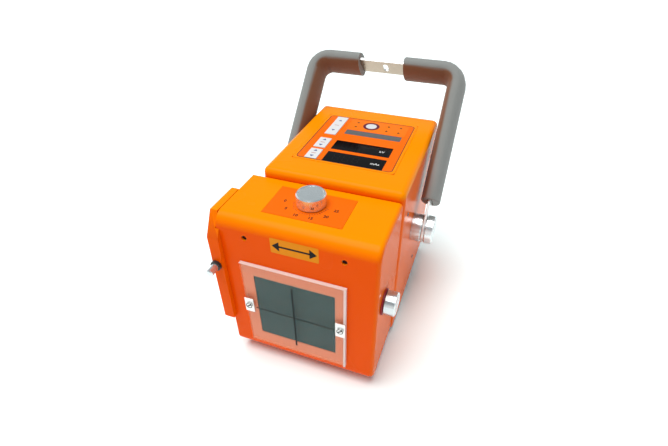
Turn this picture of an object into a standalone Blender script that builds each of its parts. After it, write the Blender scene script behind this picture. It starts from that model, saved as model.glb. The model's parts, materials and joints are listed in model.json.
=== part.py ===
"""A portable X-ray generator with a light-beam collimator head and a padded bail handle.

Units are metres and +Z is up. The collimator looks along -Y, the plane x = 0 halves the generator
body and the handle, and the feet stand on z = 0. Every piece is an object of its own, and each
moving piece has its origin on the axis of its joint.
"""

import math

import bmesh
import bpy
from mathutils import Matrix, Vector

MM = 0.001

# Clearances
GAP = 0.3 * MM
RUNNING_GAP = 0.4 * MM
SEAM = 0.6 * MM

# Generator body
BODY_WIDTH = 169 * MM
BODY_LENGTH = 193 * MM
BODY_HEIGHT = 215 * MM
BODY_CORNER = 7 * MM
WALL = 3 * MM
TRAY_THICKNESS = 3 * MM
TRAY_FLANGE_HEIGHT = 16 * MM
TRAY_FLANGE_THICKNESS = 2 * MM
PANEL_THICKNESS = 2.5 * MM
PANEL_INSET = 1.5 * MM

# Feet
FOOT_HEIGHT = 13 * MM
FOOT_DIAMETER = 18 * MM
FOOT_BASE_DIAMETER = 15.4 * MM
FOOT_INSET = 20 * MM

# Collimator head
HEAD_WIDTH = 180 * MM
HEAD_DEPTH = 85.5 * MM
HEAD_HEIGHT = 203.5 * MM
HEAD_SHIFT = -7.2 * MM
HEAD_BROW_RADIUS = 15 * MM
HEAD_CHIN_RADIUS = 13 * MM
HEAD_RIGHT_EDGE = 5 * MM
HEAD_LEFT_EDGE = 0.6 * MM
BACK_PLATE_THICKNESS = 3 * MM

# Lamp cover on the left of the head
COVER_WIDTH = 10 * MM
COVER_LIP = 4 * MM
COVER_PROUD = 6 * MM
COVER_BACK = 53 * MM
COVER_BOTTOM = 52.5 * MM
COVER_CHAMFER_RUN = 15 * MM
COVER_CHAMFER_DROP = 27 * MM
COVER_WALL = 2.5 * MM
COVER_EDGE = 1.5 * MM

# Lamp button on the cover
BUTTON_HEIGHT = 138.5 * MM
BUTTON_SHIFT = 1 * MM
BUTTON_DIAMETER = 9 * MM
BUTTON_STEM = 4 * MM
BUTTON_TRAVEL = 3 * MM
BUTTON_REACH = 16.3 * MM
BUTTON_TAIL = 4 * MM
COLLAR_DIAMETER = 12.5 * MM
COLLAR_LENGTH = 3.5 * MM

# Beam window
BEAM_SHIFT = -4.5 * MM
BEAM_HEIGHT = 82.2 * MM
WINDOW_WIDTH = 97 * MM
WINDOW_HEIGHT = 95 * MM
PLATE_WIDTH = 123.5 * MM
PLATE_HEIGHT = 129.5 * MM
PLATE_THICKNESS = 4 * MM
PLATE_RAISE = 1.5 * MM
PANE_THICKNESS = 2 * MM
CLIP_WIDTH = 11.5 * MM
CLIP_HEIGHT = 21.5 * MM
CLIP_THICKNESS = 1.2 * MM
CLIP_SCREW_DIAMETER = 7 * MM
CLIP_SCREW_HEIGHT = 1.4 * MM
CLIP_RAISE = 3 * MM

# Laser modules
LASER_SPREAD = 110.8 * MM
LASER_HEIGHT = 181.9 * MM
LASER_DIAMETER = 6 * MM
LASER_LENGTH = 20 * MM
LASER_RECESS = 1.5 * MM

# Dials: the top one turns the left and right blades, the side one the upper and lower blades
DIAL_SHIFT = -1.4 * MM
TOP_DIAL_BACK = 51.7 * MM
TOP_KNOB_DIAMETER = 32.3 * MM
TOP_KNOB_HEIGHT = 14.2 * MM
SIDE_DIAL_BACK = 27.2 * MM
SIDE_DIAL_HEIGHT = 113.2 * MM
SIDE_KNOB_DIAMETER = 27.3 * MM
SIDE_KNOB_HEIGHT = 12.5 * MM
KNOB_CHAMFER = 1.2 * MM
KNOB_DISH = 0.5 * MM
KNOB_RIM = 1.2 * MM
KNOB_LIFT = 0.6 * MM
KNOB_SOCKET = 9 * MM
DIAL_PLATE_WIDTH = 89 * MM
DIAL_PLATE_DEPTH = 52 * MM
DIAL_PLATE_THICKNESS = 0.8 * MM
DIAL_PLATE_PROUD = 0.2 * MM
DIAL_PLATE_SHIFT = -3.3 * MM
SIDE_RING_DIAMETER = 30 * MM
SIDE_RING_THICKNESS = 1.6 * MM

# Shutter drive: a pinion on each dial shaft between two racks
PINION_TEETH = 12
PITCH_RADIUS = 7.2 * MM
PRESSURE_ANGLE = math.radians(25)
ADDENDUM = 1.0 * MM
DEDENDUM = 1.3 * MM
BACKLASH = 0.3 * MM
SHAFT_DIAMETER = 6 * MM
BUSH_DIAMETER = 10 * MM
BUSH_FLANGE_DIAMETER = 14 * MM
BUSH_FLANGE_THICKNESS = 1.2 * MM
RACK_THICKNESS = 8 * MM
RACK_BACKING = 3.4 * MM
RACK_MARGIN = 8 * MM
RACK_DROP = 5 * MM
RACK_GROOVE = 1.5 * MM
RACK_GROOVE_WIDTH = 2.6 * MM
GUIDE_WALL = 2.5 * MM
GUIDE_LENGTH = 90 * MM
BLADE_HALF = 37 * MM
BLADE_TRAVEL = 34 * MM
BLADE_THICKNESS = 1.6 * MM
BLADE_OVERLAP = 1 * MM
BLADE_SPACING = 1.4 * MM

# Mirror and lamp behind the blades
MIRROR_BACK = 65 * MM
MIRROR_WIDTH = 40 * MM
MIRROR_HEIGHT = 60 * MM
MIRROR_THICKNESS = 1.5 * MM
MIRROR_ANGLE = math.radians(-45)
BRACKET_BORDER = 5 * MM
BRACKET_THICKNESS = 2 * MM
BRACKET_FOOT = 12 * MM
LAMP_DIAMETER = 20 * MM
LAMP_LENGTH = 24 * MM
WIRE_HOLE_DIAMETER = 8 * MM
WIRE_HOLE_BACK = 40 * MM

# Control panel on the body top
OVERLAY_WIDTH = 125 * MM
OVERLAY_LENGTH = 132 * MM
OVERLAY_FRONT = 121.2 * MM
OVERLAY_THICKNESS = 1.2 * MM
OVERLAY_PROUD = 0.2 * MM
OVERLAY_CORNER = 4 * MM
OVERLAY_LEDGE = 3 * MM
DISPLAY_WIDTH = 73 * MM
DISPLAY_LENGTH = 24 * MM
DISPLAY_SHIFT = 10.6 * MM
DISPLAY_FRONTS = {"display_lower": 125.3 * MM, "display_upper": 156.2 * MM}
KEY_WIDTH = 15.3 * MM
KEY_SHIFT = -41 * MM
KEY_SPANS = {
    "key_low": (125.6 * MM, 149.6 * MM),
    "key_middle": (154.4 * MM, 180.6 * MM),
    "key_tall": (192.6 * MM, 247.2 * MM),
}
KEY_PROUD = 0.8 * MM
KEY_TRAVEL = 0.5 * MM
BOARD_DEPTH = 9 * MM
BOARD_THICKNESS = 1.6 * MM
POST_WIDTH = 5 * MM

# Tube tank and power electronics
TANK_HEIGHT = 150 * MM
TANK_CORNER = 5 * MM
TANK_SIDE_CLEARANCE = 12 * MM
TANK_FRONT_CLEARANCE = 5 * MM
TANK_BACK_CLEARANCE = 18 * MM
PORT_DIAMETER = 58 * MM
PORT_OPENING = 46 * MM
INVERTER_WIDTH = 120 * MM
INVERTER_HEIGHT = 120 * MM
INVERTER_THICKNESS = 2 * MM
INVERTER_CLEARANCE = 8.5 * MM
CAPACITOR_DIAMETER = 35 * MM
CAPACITOR_HEIGHT = 85 * MM
CAPACITOR_SPACING = 60 * MM
CAPACITOR_CLEARANCE = 4 * MM

# Rear panel fittings
INLET_WIDTH = 28 * MM
INLET_HEIGHT = 21 * MM
INLET_FLANGE = 3 * MM
INLET_DEPTH = 20 * MM
INLET_CAVITY_WIDTH = 24 * MM
INLET_CAVITY_HEIGHT = 16.5 * MM
INLET_CAVITY_DEPTH = 16 * MM
INLET_PIN_LENGTH = 9 * MM
INLET_PIN_WIDTH = 2 * MM
INLET_PIN_HEIGHT = 4 * MM
INLET_PIN_SPACING = 7 * MM
INLET_INSET = 39.5 * MM
FITTING_HEIGHT = 48 * MM
FLANGE_THICKNESS = 2 * MM
SWITCH_SHIFT = 0 * MM
SWITCH_WIDTH = 20 * MM
SWITCH_HEIGHT = 30 * MM
SWITCH_BORDER = 2.2 * MM
SWITCH_DEPTH = 12 * MM
ROCKER_HALF = 11.2 * MM
ROCKER_DEPTH = 7 * MM
ROCKER_TILT = math.radians(8)
SOCKET_INSET = 39.5 * MM
SOCKET_DIAMETER = 20 * MM
SOCKET_BORE = 13 * MM
SOCKET_DEPTH = 16 * MM
SOCKET_FLOOR = 4 * MM
SOCKET_FLANGE_DIAMETER = 26 * MM

# Bail handle: the strap turns on a stud at each side and clamp knobs hold it
PIVOT_BACK = 162.5 * MM
PIVOT_HEIGHT = 118.5 * MM
HANDLE_LEAN = math.radians(44)
BAIL_REACH = 211 * MM
BAIL_BEND = 20 * MM
STRAP_WIDTH = 33 * MM
STRAP_THICKNESS = 3 * MM
STRAP_TAIL = 18 * MM
STRAP_SLOT_WIDTH = 6.5 * MM
STRAP_SLOT_LENGTH = 18 * MM
BOSS_DIAMETER = 36 * MM
BOSS_LENGTH = 13.3 * MM
STUD_DIAMETER = 10 * MM
STUD_REACH = 8 * MM
CLAMP_DIAMETER = 37 * MM
CLAMP_LENGTH = 11 * MM
CLAMP_CHAMFER = 1.5 * MM
GRIP_THICKNESS = 25 * MM
GRIP_WIDTH = 48 * MM
GRIP_START = 35 * MM
GRIP_ENDS = {"grip_left": 35 * MM, "grip_right": 27 * MM}

# Facets
ROUND_STEPS = 40
EDGE_STEPS = 4
FINE_STEPS = 2
SHARP_ANGLE = math.radians(32)
SMALL_STEPS = 20
ARC_STEPS = 6
GRIP_STEPS = 16

# Places worked out from the sizes above
GRIP_OVERHANG = math.hypot(
    GRIP_WIDTH / 2 * math.cos(HANDLE_LEAN), GRIP_THICKNESS / 2 * math.sin(HANDLE_LEAN)
)
FRONT_REACH = COVER_PROUD + BUTTON_REACH
BACK_REACH = PIVOT_BACK + BAIL_REACH * math.sin(HANDLE_LEAN) + GRIP_OVERHANG
FRONT = (FRONT_REACH - BACK_REACH) / 2
UNDERSIDE = FOOT_HEIGHT
BODY_FRONT = FRONT + HEAD_DEPTH + SEAM
BODY_BACK = BODY_FRONT + BODY_LENGTH
BODY_TOP = UNDERSIDE + BODY_HEIGHT
BODY_SIDE = BODY_WIDTH / 2
TRAY_TOP = UNDERSIDE + TRAY_THICKNESS
PANEL_BACK = BODY_BACK - PANEL_INSET
PANEL_FRONT = PANEL_BACK - PANEL_THICKNESS
HEAD_LEFT = HEAD_SHIFT - HEAD_WIDTH / 2
HEAD_RIGHT = HEAD_SHIFT + HEAD_WIDTH / 2
HEAD_BACK = FRONT + HEAD_DEPTH
HEAD_TOP = UNDERSIDE + HEAD_HEIGHT
BEAM = Vector((HEAD_SHIFT + BEAM_SHIFT, 0, UNDERSIDE + BEAM_HEIGHT))
DIAL_X = HEAD_SHIFT + DIAL_SHIFT
PLATE_FRONT = FRONT - GAP - PLATE_THICKNESS
COVER_LEFT = HEAD_LEFT - COVER_WIDTH
COVER_FRONT = FRONT - COVER_PROUD
BUTTON_PLACE = Vector(
    (HEAD_LEFT - COVER_WIDTH / 2 + BUTTON_SHIFT, COVER_FRONT, UNDERSIDE + BUTTON_HEIGHT)
)
FITTING_Z = UNDERSIDE + FITTING_HEIGHT
INLET_SHIFT = INLET_INSET - BODY_SIDE
SOCKET_SHIFT = BODY_SIDE - SOCKET_INSET
CAPACITOR_PLACE = PANEL_BACK - INLET_DEPTH - CAPACITOR_CLEARANCE - CAPACITOR_DIAMETER / 2
INVERTER_BACK = CAPACITOR_PLACE - CAPACITOR_DIAMETER / 2 - INVERTER_CLEARANCE
TANK_SIDE = BODY_SIDE - WALL - GAP - TRAY_FLANGE_THICKNESS - TANK_SIDE_CLEARANCE
TANK_FRONT = BODY_FRONT + WALL + TANK_FRONT_CLEARANCE
TANK_BACK = INVERTER_BACK - INVERTER_THICKNESS - TANK_BACK_CLEARANCE
PIVOT = Vector((0, FRONT + PIVOT_BACK, UNDERSIDE + PIVOT_HEIGHT))
STRAP_SIDE = BODY_SIDE + GAP + BOSS_LENGTH + GAP + STRAP_THICKNESS / 2
OVERLAY_TOP = BODY_TOP + OVERLAY_PROUD
BOARD_TOP = BODY_TOP - BOARD_DEPTH

FINISHES = {
    "orange_enamel": ((1.0, 0.30, 0.0), 0.35, 0.0),
    "orange_print": ((1.0, 0.20, 0.0), 0.45, 0.0),
    "clear_acrylic": ((0.95, 0.45, 0.30), 0.08, 0.0),
    "smoked_acrylic": ((0.09, 0.14, 0.15), 0.15, 0.0),
    "polished_steel": ((0.80, 0.80, 0.80), 0.15, 1.0),
    "brushed_steel": ((0.55, 0.52, 0.48), 0.35, 1.0),
    "slate_steel": ((0.09, 0.13, 0.14), 0.45, 0.2),
    "grey_foam": ((0.30, 0.32, 0.31), 0.90, 0.0),
    "black_plastic": ((0.02, 0.02, 0.02), 0.45, 0.0),
    "black_glass": ((0.01, 0.01, 0.012), 0.10, 0.0),
    "white_key": ((0.85, 0.85, 0.83), 0.50, 0.0),
    "red_ring": ((0.25, 0.01, 0.02), 0.40, 0.0),
    "rubber": ((0.03, 0.03, 0.03), 0.85, 0.0),
    "circuit_board": ((0.02, 0.16, 0.06), 0.55, 0.0),
    "aluminium": ((0.60, 0.61, 0.62), 0.40, 1.0),
    "brass": ((0.75, 0.55, 0.20), 0.30, 1.0),
    "mirror_glass": ((0.90, 0.90, 0.92), 0.03, 1.0),
}


def finish(name):
    """The material of this name, made on first use."""
    material = bpy.data.materials.get(name)
    if material:
        return material
    colour, roughness, metallic = FINISHES[name]
    material = bpy.data.materials.new(name)
    material.use_nodes = True
    shader = material.node_tree.nodes["Principled BSDF"]
    shader.inputs["Base Color"].default_value = (*colour, 1)
    shader.inputs["Roughness"].default_value = roughness
    shader.inputs["Metallic"].default_value = metallic
    material.diffuse_color = (*colour, 1)
    return material


def add_piece(name, shape, finish_name, origin=(0, 0, 0)):
    """Makes an object of a bmesh given in world places, with its own origin."""
    bmesh.ops.recalc_face_normals(shape, faces=shape.faces)
    bmesh.ops.translate(shape, verts=shape.verts, vec=-Vector(origin))
    mesh = bpy.data.meshes.new(name)
    shape.to_mesh(mesh)
    shape.free()
    mesh.shade_smooth()
    mesh.set_sharp_from_angle(angle=SHARP_ANGLE)
    mesh.materials.append(finish(finish_name))
    piece = bpy.data.objects.new(name, mesh)
    piece.location = origin
    bpy.context.collection.objects.link(piece)
    return piece


def combine(piece, shape, operation):
    """Adds a Boolean that takes the shape from the piece or joins it to it."""
    helper = add_piece(f"{piece.name}_{operation.lower()}_{len(piece.modifiers)}", shape, "black_plastic")
    helper.hide_render = True
    helper.display_type = "WIRE"
    modifier = piece.modifiers.new(helper.name, "BOOLEAN")
    modifier.operation = operation
    modifier.solver = "EXACT"
    modifier.object = helper
    helper.parent = piece.parent


def cut(piece, shape):
    combine(piece, shape, "DIFFERENCE")


def join(piece, shape):
    combine(piece, shape, "UNION")


def box(low, high):
    """A block between two opposite corners."""
    low, high = Vector(low), Vector(high)
    shape = bmesh.new()
    size = Matrix.Diagonal((*(high - low), 1))
    bmesh.ops.create_cube(shape, size=1, matrix=Matrix.Translation((low + high) / 2) @ size)
    return shape


def slab(centre, size):
    """A block given by its centre and size."""
    half = Vector(size) / 2
    return box(Vector(centre) - half, Vector(centre) + half)


def round_edges(shape, wanted, radius, segments):
    """Rounds the edges whose two ends the test accepts."""
    edges = [edge for edge in shape.edges if wanted(*(vert.co for vert in edge.verts))]
    bmesh.ops.bevel(
        shape, geom=edges, offset=radius, segments=segments, profile=0.5, affect="EDGES", clamp_overlap=True
    )
    return shape


def prism(outline, place):
    """Extrudes an outline of (u, v) points; place(u, v, end) gives the corner at end 0 or 1."""
    shape = bmesh.new()
    near = [shape.verts.new(place(u, v, 0)) for u, v in outline]
    far = [shape.verts.new(place(u, v, 1)) for u, v in outline]
    shape.faces.new(near)
    shape.faces.new(far)
    for index in range(len(outline)):
        following = (index + 1) % len(outline)
        shape.faces.new((near[index], near[following], far[following], far[index]))
    bmesh.ops.recalc_face_normals(shape, faces=shape.faces)
    return shape


def turned(profile, frame, steps):
    """Turns (radius, height) points about the +Z axis of a frame; a profile off the axis closes on itself."""
    shape = bmesh.new()
    rings = []
    for radius, height in profile:
        if radius == 0:
            rings.append([shape.verts.new(frame @ Vector((0, 0, height)))])
            continue
        angles = [math.tau * step / steps for step in range(steps)]
        rings.append(
            [
                shape.verts.new(frame @ Vector((radius * math.cos(a), radius * math.sin(a), height)))
                for a in angles
            ]
        )
    pairs = list(zip(rings, rings[1:]))
    if profile[0][0] and profile[-1][0]:
        pairs.append((rings[-1], rings[0]))
    for first, second in pairs:
        for step in range(steps):
            following = (step + 1) % steps
            corners = [first[step % len(first)], first[following % len(first)]]
            corners += [second[following % len(second)], second[step % len(second)]]
            shape.faces.new(list(dict.fromkeys(corners)))
    bmesh.ops.recalc_face_normals(shape, faces=shape.faces)
    return shape


def facing(place, axis):
    """A frame at a place whose +Z points along the axis."""
    return Matrix.Translation(place) @ Vector(axis).to_track_quat("Z", "Y").to_matrix().to_4x4()


def rod(place, axis, diameter, length, steps=SMALL_STEPS):
    """A cylinder from a place along an axis."""
    radius = diameter / 2
    profile = [(0, 0), (radius, 0), (radius, length), (0, length)]
    return turned(profile, facing(place, axis), steps)


def arc(centre, radius, start, end, steps):
    """Points on an arc, angles in degrees."""
    turns = [math.radians(start + (end - start) * step / steps) for step in range(steps + 1)]
    return [(centre[0] + radius * math.cos(turn), centre[1] + radius * math.sin(turn)) for turn in turns]


def rounded_rectangle(low, high, radius):
    """A rectangle's outline with round corners."""
    corners = (
        ((high[0] - radius, high[1] - radius), 0),
        ((low[0] + radius, high[1] - radius), 90),
        ((low[0] + radius, low[1] + radius), 180),
        ((high[0] - radius, low[1] + radius), 270),
    )
    steps = ARC_STEPS // 2
    return [point for centre, turn in corners for point in arc(centre, radius, turn, turn + 90, steps)]


def upright(low_z, high_z):
    """For prism: outlines in x and y, extruded along z."""
    return lambda x, y, end: (x, y, high_z if end else low_z)


def across(low_x, high_x):
    """For prism: outlines in y and z, extruded along x."""
    return lambda y, z, end: (high_x if end else low_x, y, z)


# Generator body


def overlay_corners(margin):
    """The overlay's two corners in x and y, grown by a margin."""
    front = FRONT + OVERLAY_FRONT
    low = (-OVERLAY_WIDTH / 2 - margin, front - margin)
    high = (OVERLAY_WIDTH / 2 + margin, front + OVERLAY_LENGTH + margin)
    return low, high


def make_body_cover():
    """The orange cover: a front, a top and two sides, open below and behind."""
    low = Vector((-BODY_SIDE, BODY_FRONT, UNDERSIDE))
    high = Vector((BODY_SIDE, BODY_BACK, BODY_TOP))
    shell = round_edges(
        box(low, high),
        lambda a, b: max(a.z, b.z) > BODY_TOP - GAP and min(a.y, b.y) < BODY_BACK - GAP,
        BODY_CORNER,
        EDGE_STEPS,
    )
    cover = add_piece("body_cover", shell, "orange_enamel")
    cut(cover, box(low + Vector((WALL, WALL, -WALL)), high + Vector((-WALL, WALL, -WALL))))
    pocket_low, pocket_high = overlay_corners(GAP)
    pocket_floor = OVERLAY_TOP - OVERLAY_THICKNESS - GAP
    cut(cover, box((*pocket_low, pocket_floor), (*pocket_high, BODY_TOP + WALL)))
    window_low, window_high = overlay_corners(-OVERLAY_LEDGE)
    cut(cover, box((*window_low, BODY_TOP - 2 * WALL), (*window_high, BODY_TOP + WALL)))
    port = Vector((BEAM.x, BODY_FRONT - WALL, BEAM.z))
    cut(cover, rod(port, (0, 1, 0), PORT_DIAMETER + 2 * GAP, 3 * WALL, ROUND_STEPS))
    post_low, post_high = overlay_corners(0)
    for x in (post_low[0], post_high[0]):
        for y in (post_low[1], post_high[1]):
            foot = Vector((x - POST_WIDTH / 2, y - POST_WIDTH / 2, BOARD_TOP + GAP))
            head = Vector((x + POST_WIDTH / 2, y + POST_WIDTH / 2, pocket_floor - GAP))
            join(cover, box(foot, head))


def make_base_tray():
    """The chassis tray: a floor with a flange along each side, inside the cover."""
    side = BODY_SIDE - WALL - GAP
    inner = side - TRAY_FLANGE_THICKNESS
    flange_top = UNDERSIDE + TRAY_FLANGE_HEIGHT
    outline = [(-side, UNDERSIDE), (side, UNDERSIDE), (side, flange_top), (inner, flange_top)]
    outline += [(inner, TRAY_TOP), (-inner, TRAY_TOP), (-inner, flange_top), (-side, flange_top)]
    front = BODY_FRONT + WALL + GAP
    back = PANEL_FRONT - GAP
    shape = prism(outline, lambda x, z, end: (x, back if end else front, z))
    add_piece("base_tray", shape, "aluminium")


def make_feet():
    """Four rubber feet under the tray, each a short cone."""
    top = FOOT_HEIGHT - GAP
    profile = [(0, 0), (FOOT_BASE_DIAMETER / 2, 0), (FOOT_DIAMETER / 2, top), (0, top)]
    rows = {"front": BODY_FRONT + FOOT_INSET, "rear": BODY_BACK - FOOT_INSET}
    columns = {"left": FOOT_INSET - BODY_SIDE, "right": BODY_SIDE - FOOT_INSET}
    for row, y in rows.items():
        for column, x in columns.items():
            shape = turned(profile, facing((x, y, 0), (0, 0, 1)), SMALL_STEPS)
            add_piece(f"foot_{row}_{column}", shape, "rubber")


def make_rear_panel():
    """The plate that closes the back, with cut-outs for the three fittings."""
    side = BODY_SIDE - WALL - GAP
    shape = box((-side, PANEL_FRONT, UNDERSIDE), (side, PANEL_BACK, BODY_TOP - WALL - GAP))
    panel = add_piece("rear_panel", shape, "black_plastic")
    depth = 3 * PANEL_THICKNESS
    middle = (PANEL_FRONT + PANEL_BACK) / 2
    inlet_size = (INLET_WIDTH + 2 * GAP, depth, INLET_HEIGHT + 2 * GAP)
    cut(panel, slab((INLET_SHIFT, middle, FITTING_Z), inlet_size))
    switch_size = (SWITCH_WIDTH + 2 * GAP, depth, SWITCH_HEIGHT + 2 * GAP)
    cut(panel, slab((SWITCH_SHIFT, middle, FITTING_Z), switch_size))
    hole = Vector((SOCKET_SHIFT, middle - depth / 2, FITTING_Z))
    cut(panel, rod(hole, (0, 1, 0), SOCKET_DIAMETER + 2 * GAP, depth))


def fitting_block(x, width, height, depth):
    """A fitting's block behind the panel with its flange outside, as two overlapping boxes."""
    face = PANEL_BACK + GAP + FLANGE_THICKNESS
    block = box(
        (x - width / 2, PANEL_BACK - depth, FITTING_Z - height / 2),
        (x + width / 2, face, FITTING_Z + height / 2),
    )
    flange_width = width / 2 + INLET_FLANGE
    flange_height = height / 2 + INLET_FLANGE
    flange = box(
        (x - flange_width, PANEL_BACK + GAP, FITTING_Z - flange_height),
        (x + flange_width, face, FITTING_Z + flange_height),
    )
    return block, flange


def make_power_inlet():
    """The three-pin mains inlet, hollow towards the back."""
    block, flange = fitting_block(INLET_SHIFT, INLET_WIDTH, INLET_HEIGHT, INLET_DEPTH)
    inlet = add_piece("power_inlet", block, "black_plastic")
    join(inlet, flange)
    face = PANEL_BACK + GAP + FLANGE_THICKNESS
    floor = face - INLET_CAVITY_DEPTH
    half_width, half_height = INLET_CAVITY_WIDTH / 2, INLET_CAVITY_HEIGHT / 2
    cut(
        inlet,
        box(
            (INLET_SHIFT - half_width, floor, FITTING_Z - half_height),
            (INLET_SHIFT + half_width, face + FLANGE_THICKNESS, FITTING_Z + half_height),
        ),
    )
    for column, rise in ((-1, -1), (0, 1), (1, -1)):
        x = INLET_SHIFT + column * INLET_PIN_SPACING
        z = FITTING_Z + rise * INLET_PIN_WIDTH
        size = (INLET_PIN_WIDTH, INLET_PIN_LENGTH + GAP, INLET_PIN_HEIGHT)
        join(inlet, slab((x, floor + (INLET_PIN_LENGTH - GAP) / 2, z), size))


def make_power_switch():
    """The switch's frame and its rocker, which turns on a level axis across the frame."""
    block, flange = fitting_block(SWITCH_SHIFT, SWITCH_WIDTH, SWITCH_HEIGHT, SWITCH_DEPTH)
    frame = add_piece("switch_frame", block, "black_plastic")
    join(frame, flange)
    face = PANEL_BACK + GAP + FLANGE_THICKNESS
    half_width = SWITCH_WIDTH / 2 - SWITCH_BORDER
    half_height = SWITCH_HEIGHT / 2 - SWITCH_BORDER
    cut(
        frame,
        box(
            (SWITCH_SHIFT - half_width, PANEL_BACK - 2 * SWITCH_DEPTH, FITTING_Z - half_height),
            (SWITCH_SHIFT + half_width, face + FLANGE_THICKNESS, FITTING_Z + half_height),
        ),
    )
    pivot = Vector((SWITCH_SHIFT, face, FITTING_Z))
    crest, root = ROCKER_DEPTH / 2, ROCKER_DEPTH / 4
    outline = [(crest, ROCKER_HALF), (root, 0), (crest, -ROCKER_HALF)]
    outline += [(-root, -ROCKER_HALF), (-crest, 0), (-root, ROCKER_HALF)]
    tilt = Matrix.Rotation(ROCKER_TILT, 3, "X")
    half = half_width - GAP
    shape = prism(
        outline, lambda y, z, end: pivot + tilt @ Vector((half if end else -half, y, z))
    )
    add_piece("power_rocker", shape, "black_plastic", pivot)


def make_handswitch_socket():
    """The round socket for the exposure hand switch."""
    body, bore, flange = SOCKET_DIAMETER / 2, SOCKET_BORE / 2, SOCKET_FLANGE_DIAMETER / 2
    face = GAP + FLANGE_THICKNESS
    floor = SOCKET_FLOOR - SOCKET_DEPTH
    profile = [(0, -SOCKET_DEPTH), (body, -SOCKET_DEPTH), (body, GAP), (flange, GAP)]
    profile += [(flange, face), (bore, face), (bore, floor), (0, floor)]
    frame = facing((SOCKET_SHIFT, PANEL_BACK, FITTING_Z), (0, 1, 0))
    add_piece("handswitch_socket", turned(profile, frame, SMALL_STEPS), "aluminium")


# Control panel


def make_control_panel():
    """The overlay with its two displays and three keys, over the control board."""
    low, high = overlay_corners(0)
    bottom = OVERLAY_TOP - OVERLAY_THICKNESS
    outline = rounded_rectangle(low, high, OVERLAY_CORNER)
    overlay = add_piece("control_overlay", prism(outline, upright(bottom, OVERLAY_TOP)), "orange_print")
    displays = {
        name: (DISPLAY_SHIFT, FRONT + front, DISPLAY_WIDTH, DISPLAY_LENGTH)
        for name, front in DISPLAY_FRONTS.items()
    }
    keys = {
        name: (KEY_SHIFT, FRONT + front, KEY_WIDTH, back - front)
        for name, (front, back) in KEY_SPANS.items()
    }
    for x, y, width, length in [*displays.values(), *keys.values()]:
        opening_low = (x - width / 2 - GAP, y - GAP, bottom - OVERLAY_THICKNESS)
        opening_high = (x + width / 2 + GAP, y + length + GAP, OVERLAY_TOP + OVERLAY_THICKNESS)
        cut(overlay, box(opening_low, opening_high))
    for name, (x, y, width, length) in displays.items():
        shape = box((x - width / 2, y, BOARD_TOP + GAP), (x + width / 2, y + length, OVERLAY_TOP))
        add_piece(name, shape, "black_glass")
    for name, (x, y, width, length) in keys.items():
        top = OVERLAY_TOP + KEY_PROUD
        bottom = BOARD_TOP + KEY_TRAVEL + GAP
        shape = box((x - width / 2, y, bottom), (x + width / 2, y + length, top))
        round_edges(shape, lambda a, b: min(a.z, b.z) > OVERLAY_TOP, KEY_PROUD / 2, FINE_STEPS)
        add_piece(name, shape, "white_key", (x, y + length / 2, top))
    board_low, board_high = overlay_corners(POST_WIDTH / 2)
    shape = box((*board_low, BOARD_TOP - BOARD_THICKNESS), (*board_high, BOARD_TOP))
    add_piece("control_board", shape, "circuit_board")


# Inside the body


def make_tube_tank():
    """The sealed tank of the X-ray tube and its transformer, with a round port towards the head."""
    low = (-TANK_SIDE, TANK_FRONT, TRAY_TOP + GAP)
    high = (TANK_SIDE, TANK_BACK, TRAY_TOP + GAP + TANK_HEIGHT)
    shape = round_edges(box(low, high), lambda a, b: True, TANK_CORNER, FINE_STEPS)
    tank = add_piece("tube_tank", shape, "aluminium")
    port = Vector((BEAM.x, HEAD_BACK + GAP, BEAM.z))
    length = TANK_FRONT + TANK_CORNER - port.y
    join(tank, rod(port, (0, 1, 0), PORT_DIAMETER, length, ROUND_STEPS))


def make_power_electronics():
    """The inverter board and two capacitors, which stand on the tray behind the tank."""
    floor = TRAY_TOP + GAP
    board_front = INVERTER_BACK - INVERTER_THICKNESS
    shape = box(
        (-INVERTER_WIDTH / 2, board_front, floor),
        (INVERTER_WIDTH / 2, INVERTER_BACK, floor + INVERTER_HEIGHT),
    )
    add_piece("inverter_board", shape, "circuit_board")
    for name, side in (("capacitor_left", -1), ("capacitor_right", 1)):
        place = (side * CAPACITOR_SPACING / 2, CAPACITOR_PLACE, floor)
        shape = rod(place, (0, 0, 1), CAPACITOR_DIAMETER, CAPACITOR_HEIGHT)
        add_piece(name, shape, "black_plastic")


# Collimator head


def head_outline(inset, back):
    """The head's side outline in y and z, moved inwards by an inset and open to a chosen back."""
    chin = (FRONT + HEAD_CHIN_RADIUS, UNDERSIDE + HEAD_CHIN_RADIUS)
    brow = (FRONT + HEAD_BROW_RADIUS, HEAD_TOP - HEAD_BROW_RADIUS)
    outline = [(back, UNDERSIDE + inset)]
    outline += arc(chin, HEAD_CHIN_RADIUS - inset, 270, 180, ARC_STEPS)
    outline += arc(brow, HEAD_BROW_RADIUS - inset, 180, 90, ARC_STEPS)
    outline.append((back, HEAD_TOP - inset))
    return outline


def laser_places():
    """The two laser apertures in the front face."""
    height = UNDERSIDE + LASER_HEIGHT
    return {
        "laser_left": Vector((DIAL_X - LASER_SPREAD / 2, FRONT, height)),
        "laser_right": Vector((DIAL_X + LASER_SPREAD / 2, FRONT, height)),
    }


def dial_plate_corners(margin):
    """The top dial plate's two corners in x and y, grown by a margin."""
    middle = FRONT + TOP_DIAL_BACK + DIAL_PLATE_SHIFT
    low = (DIAL_X - DIAL_PLATE_WIDTH / 2 - margin, middle - DIAL_PLATE_DEPTH / 2 - margin)
    high = (DIAL_X + DIAL_PLATE_WIDTH / 2 + margin, middle + DIAL_PLATE_DEPTH / 2 + margin)
    return low, high


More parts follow.
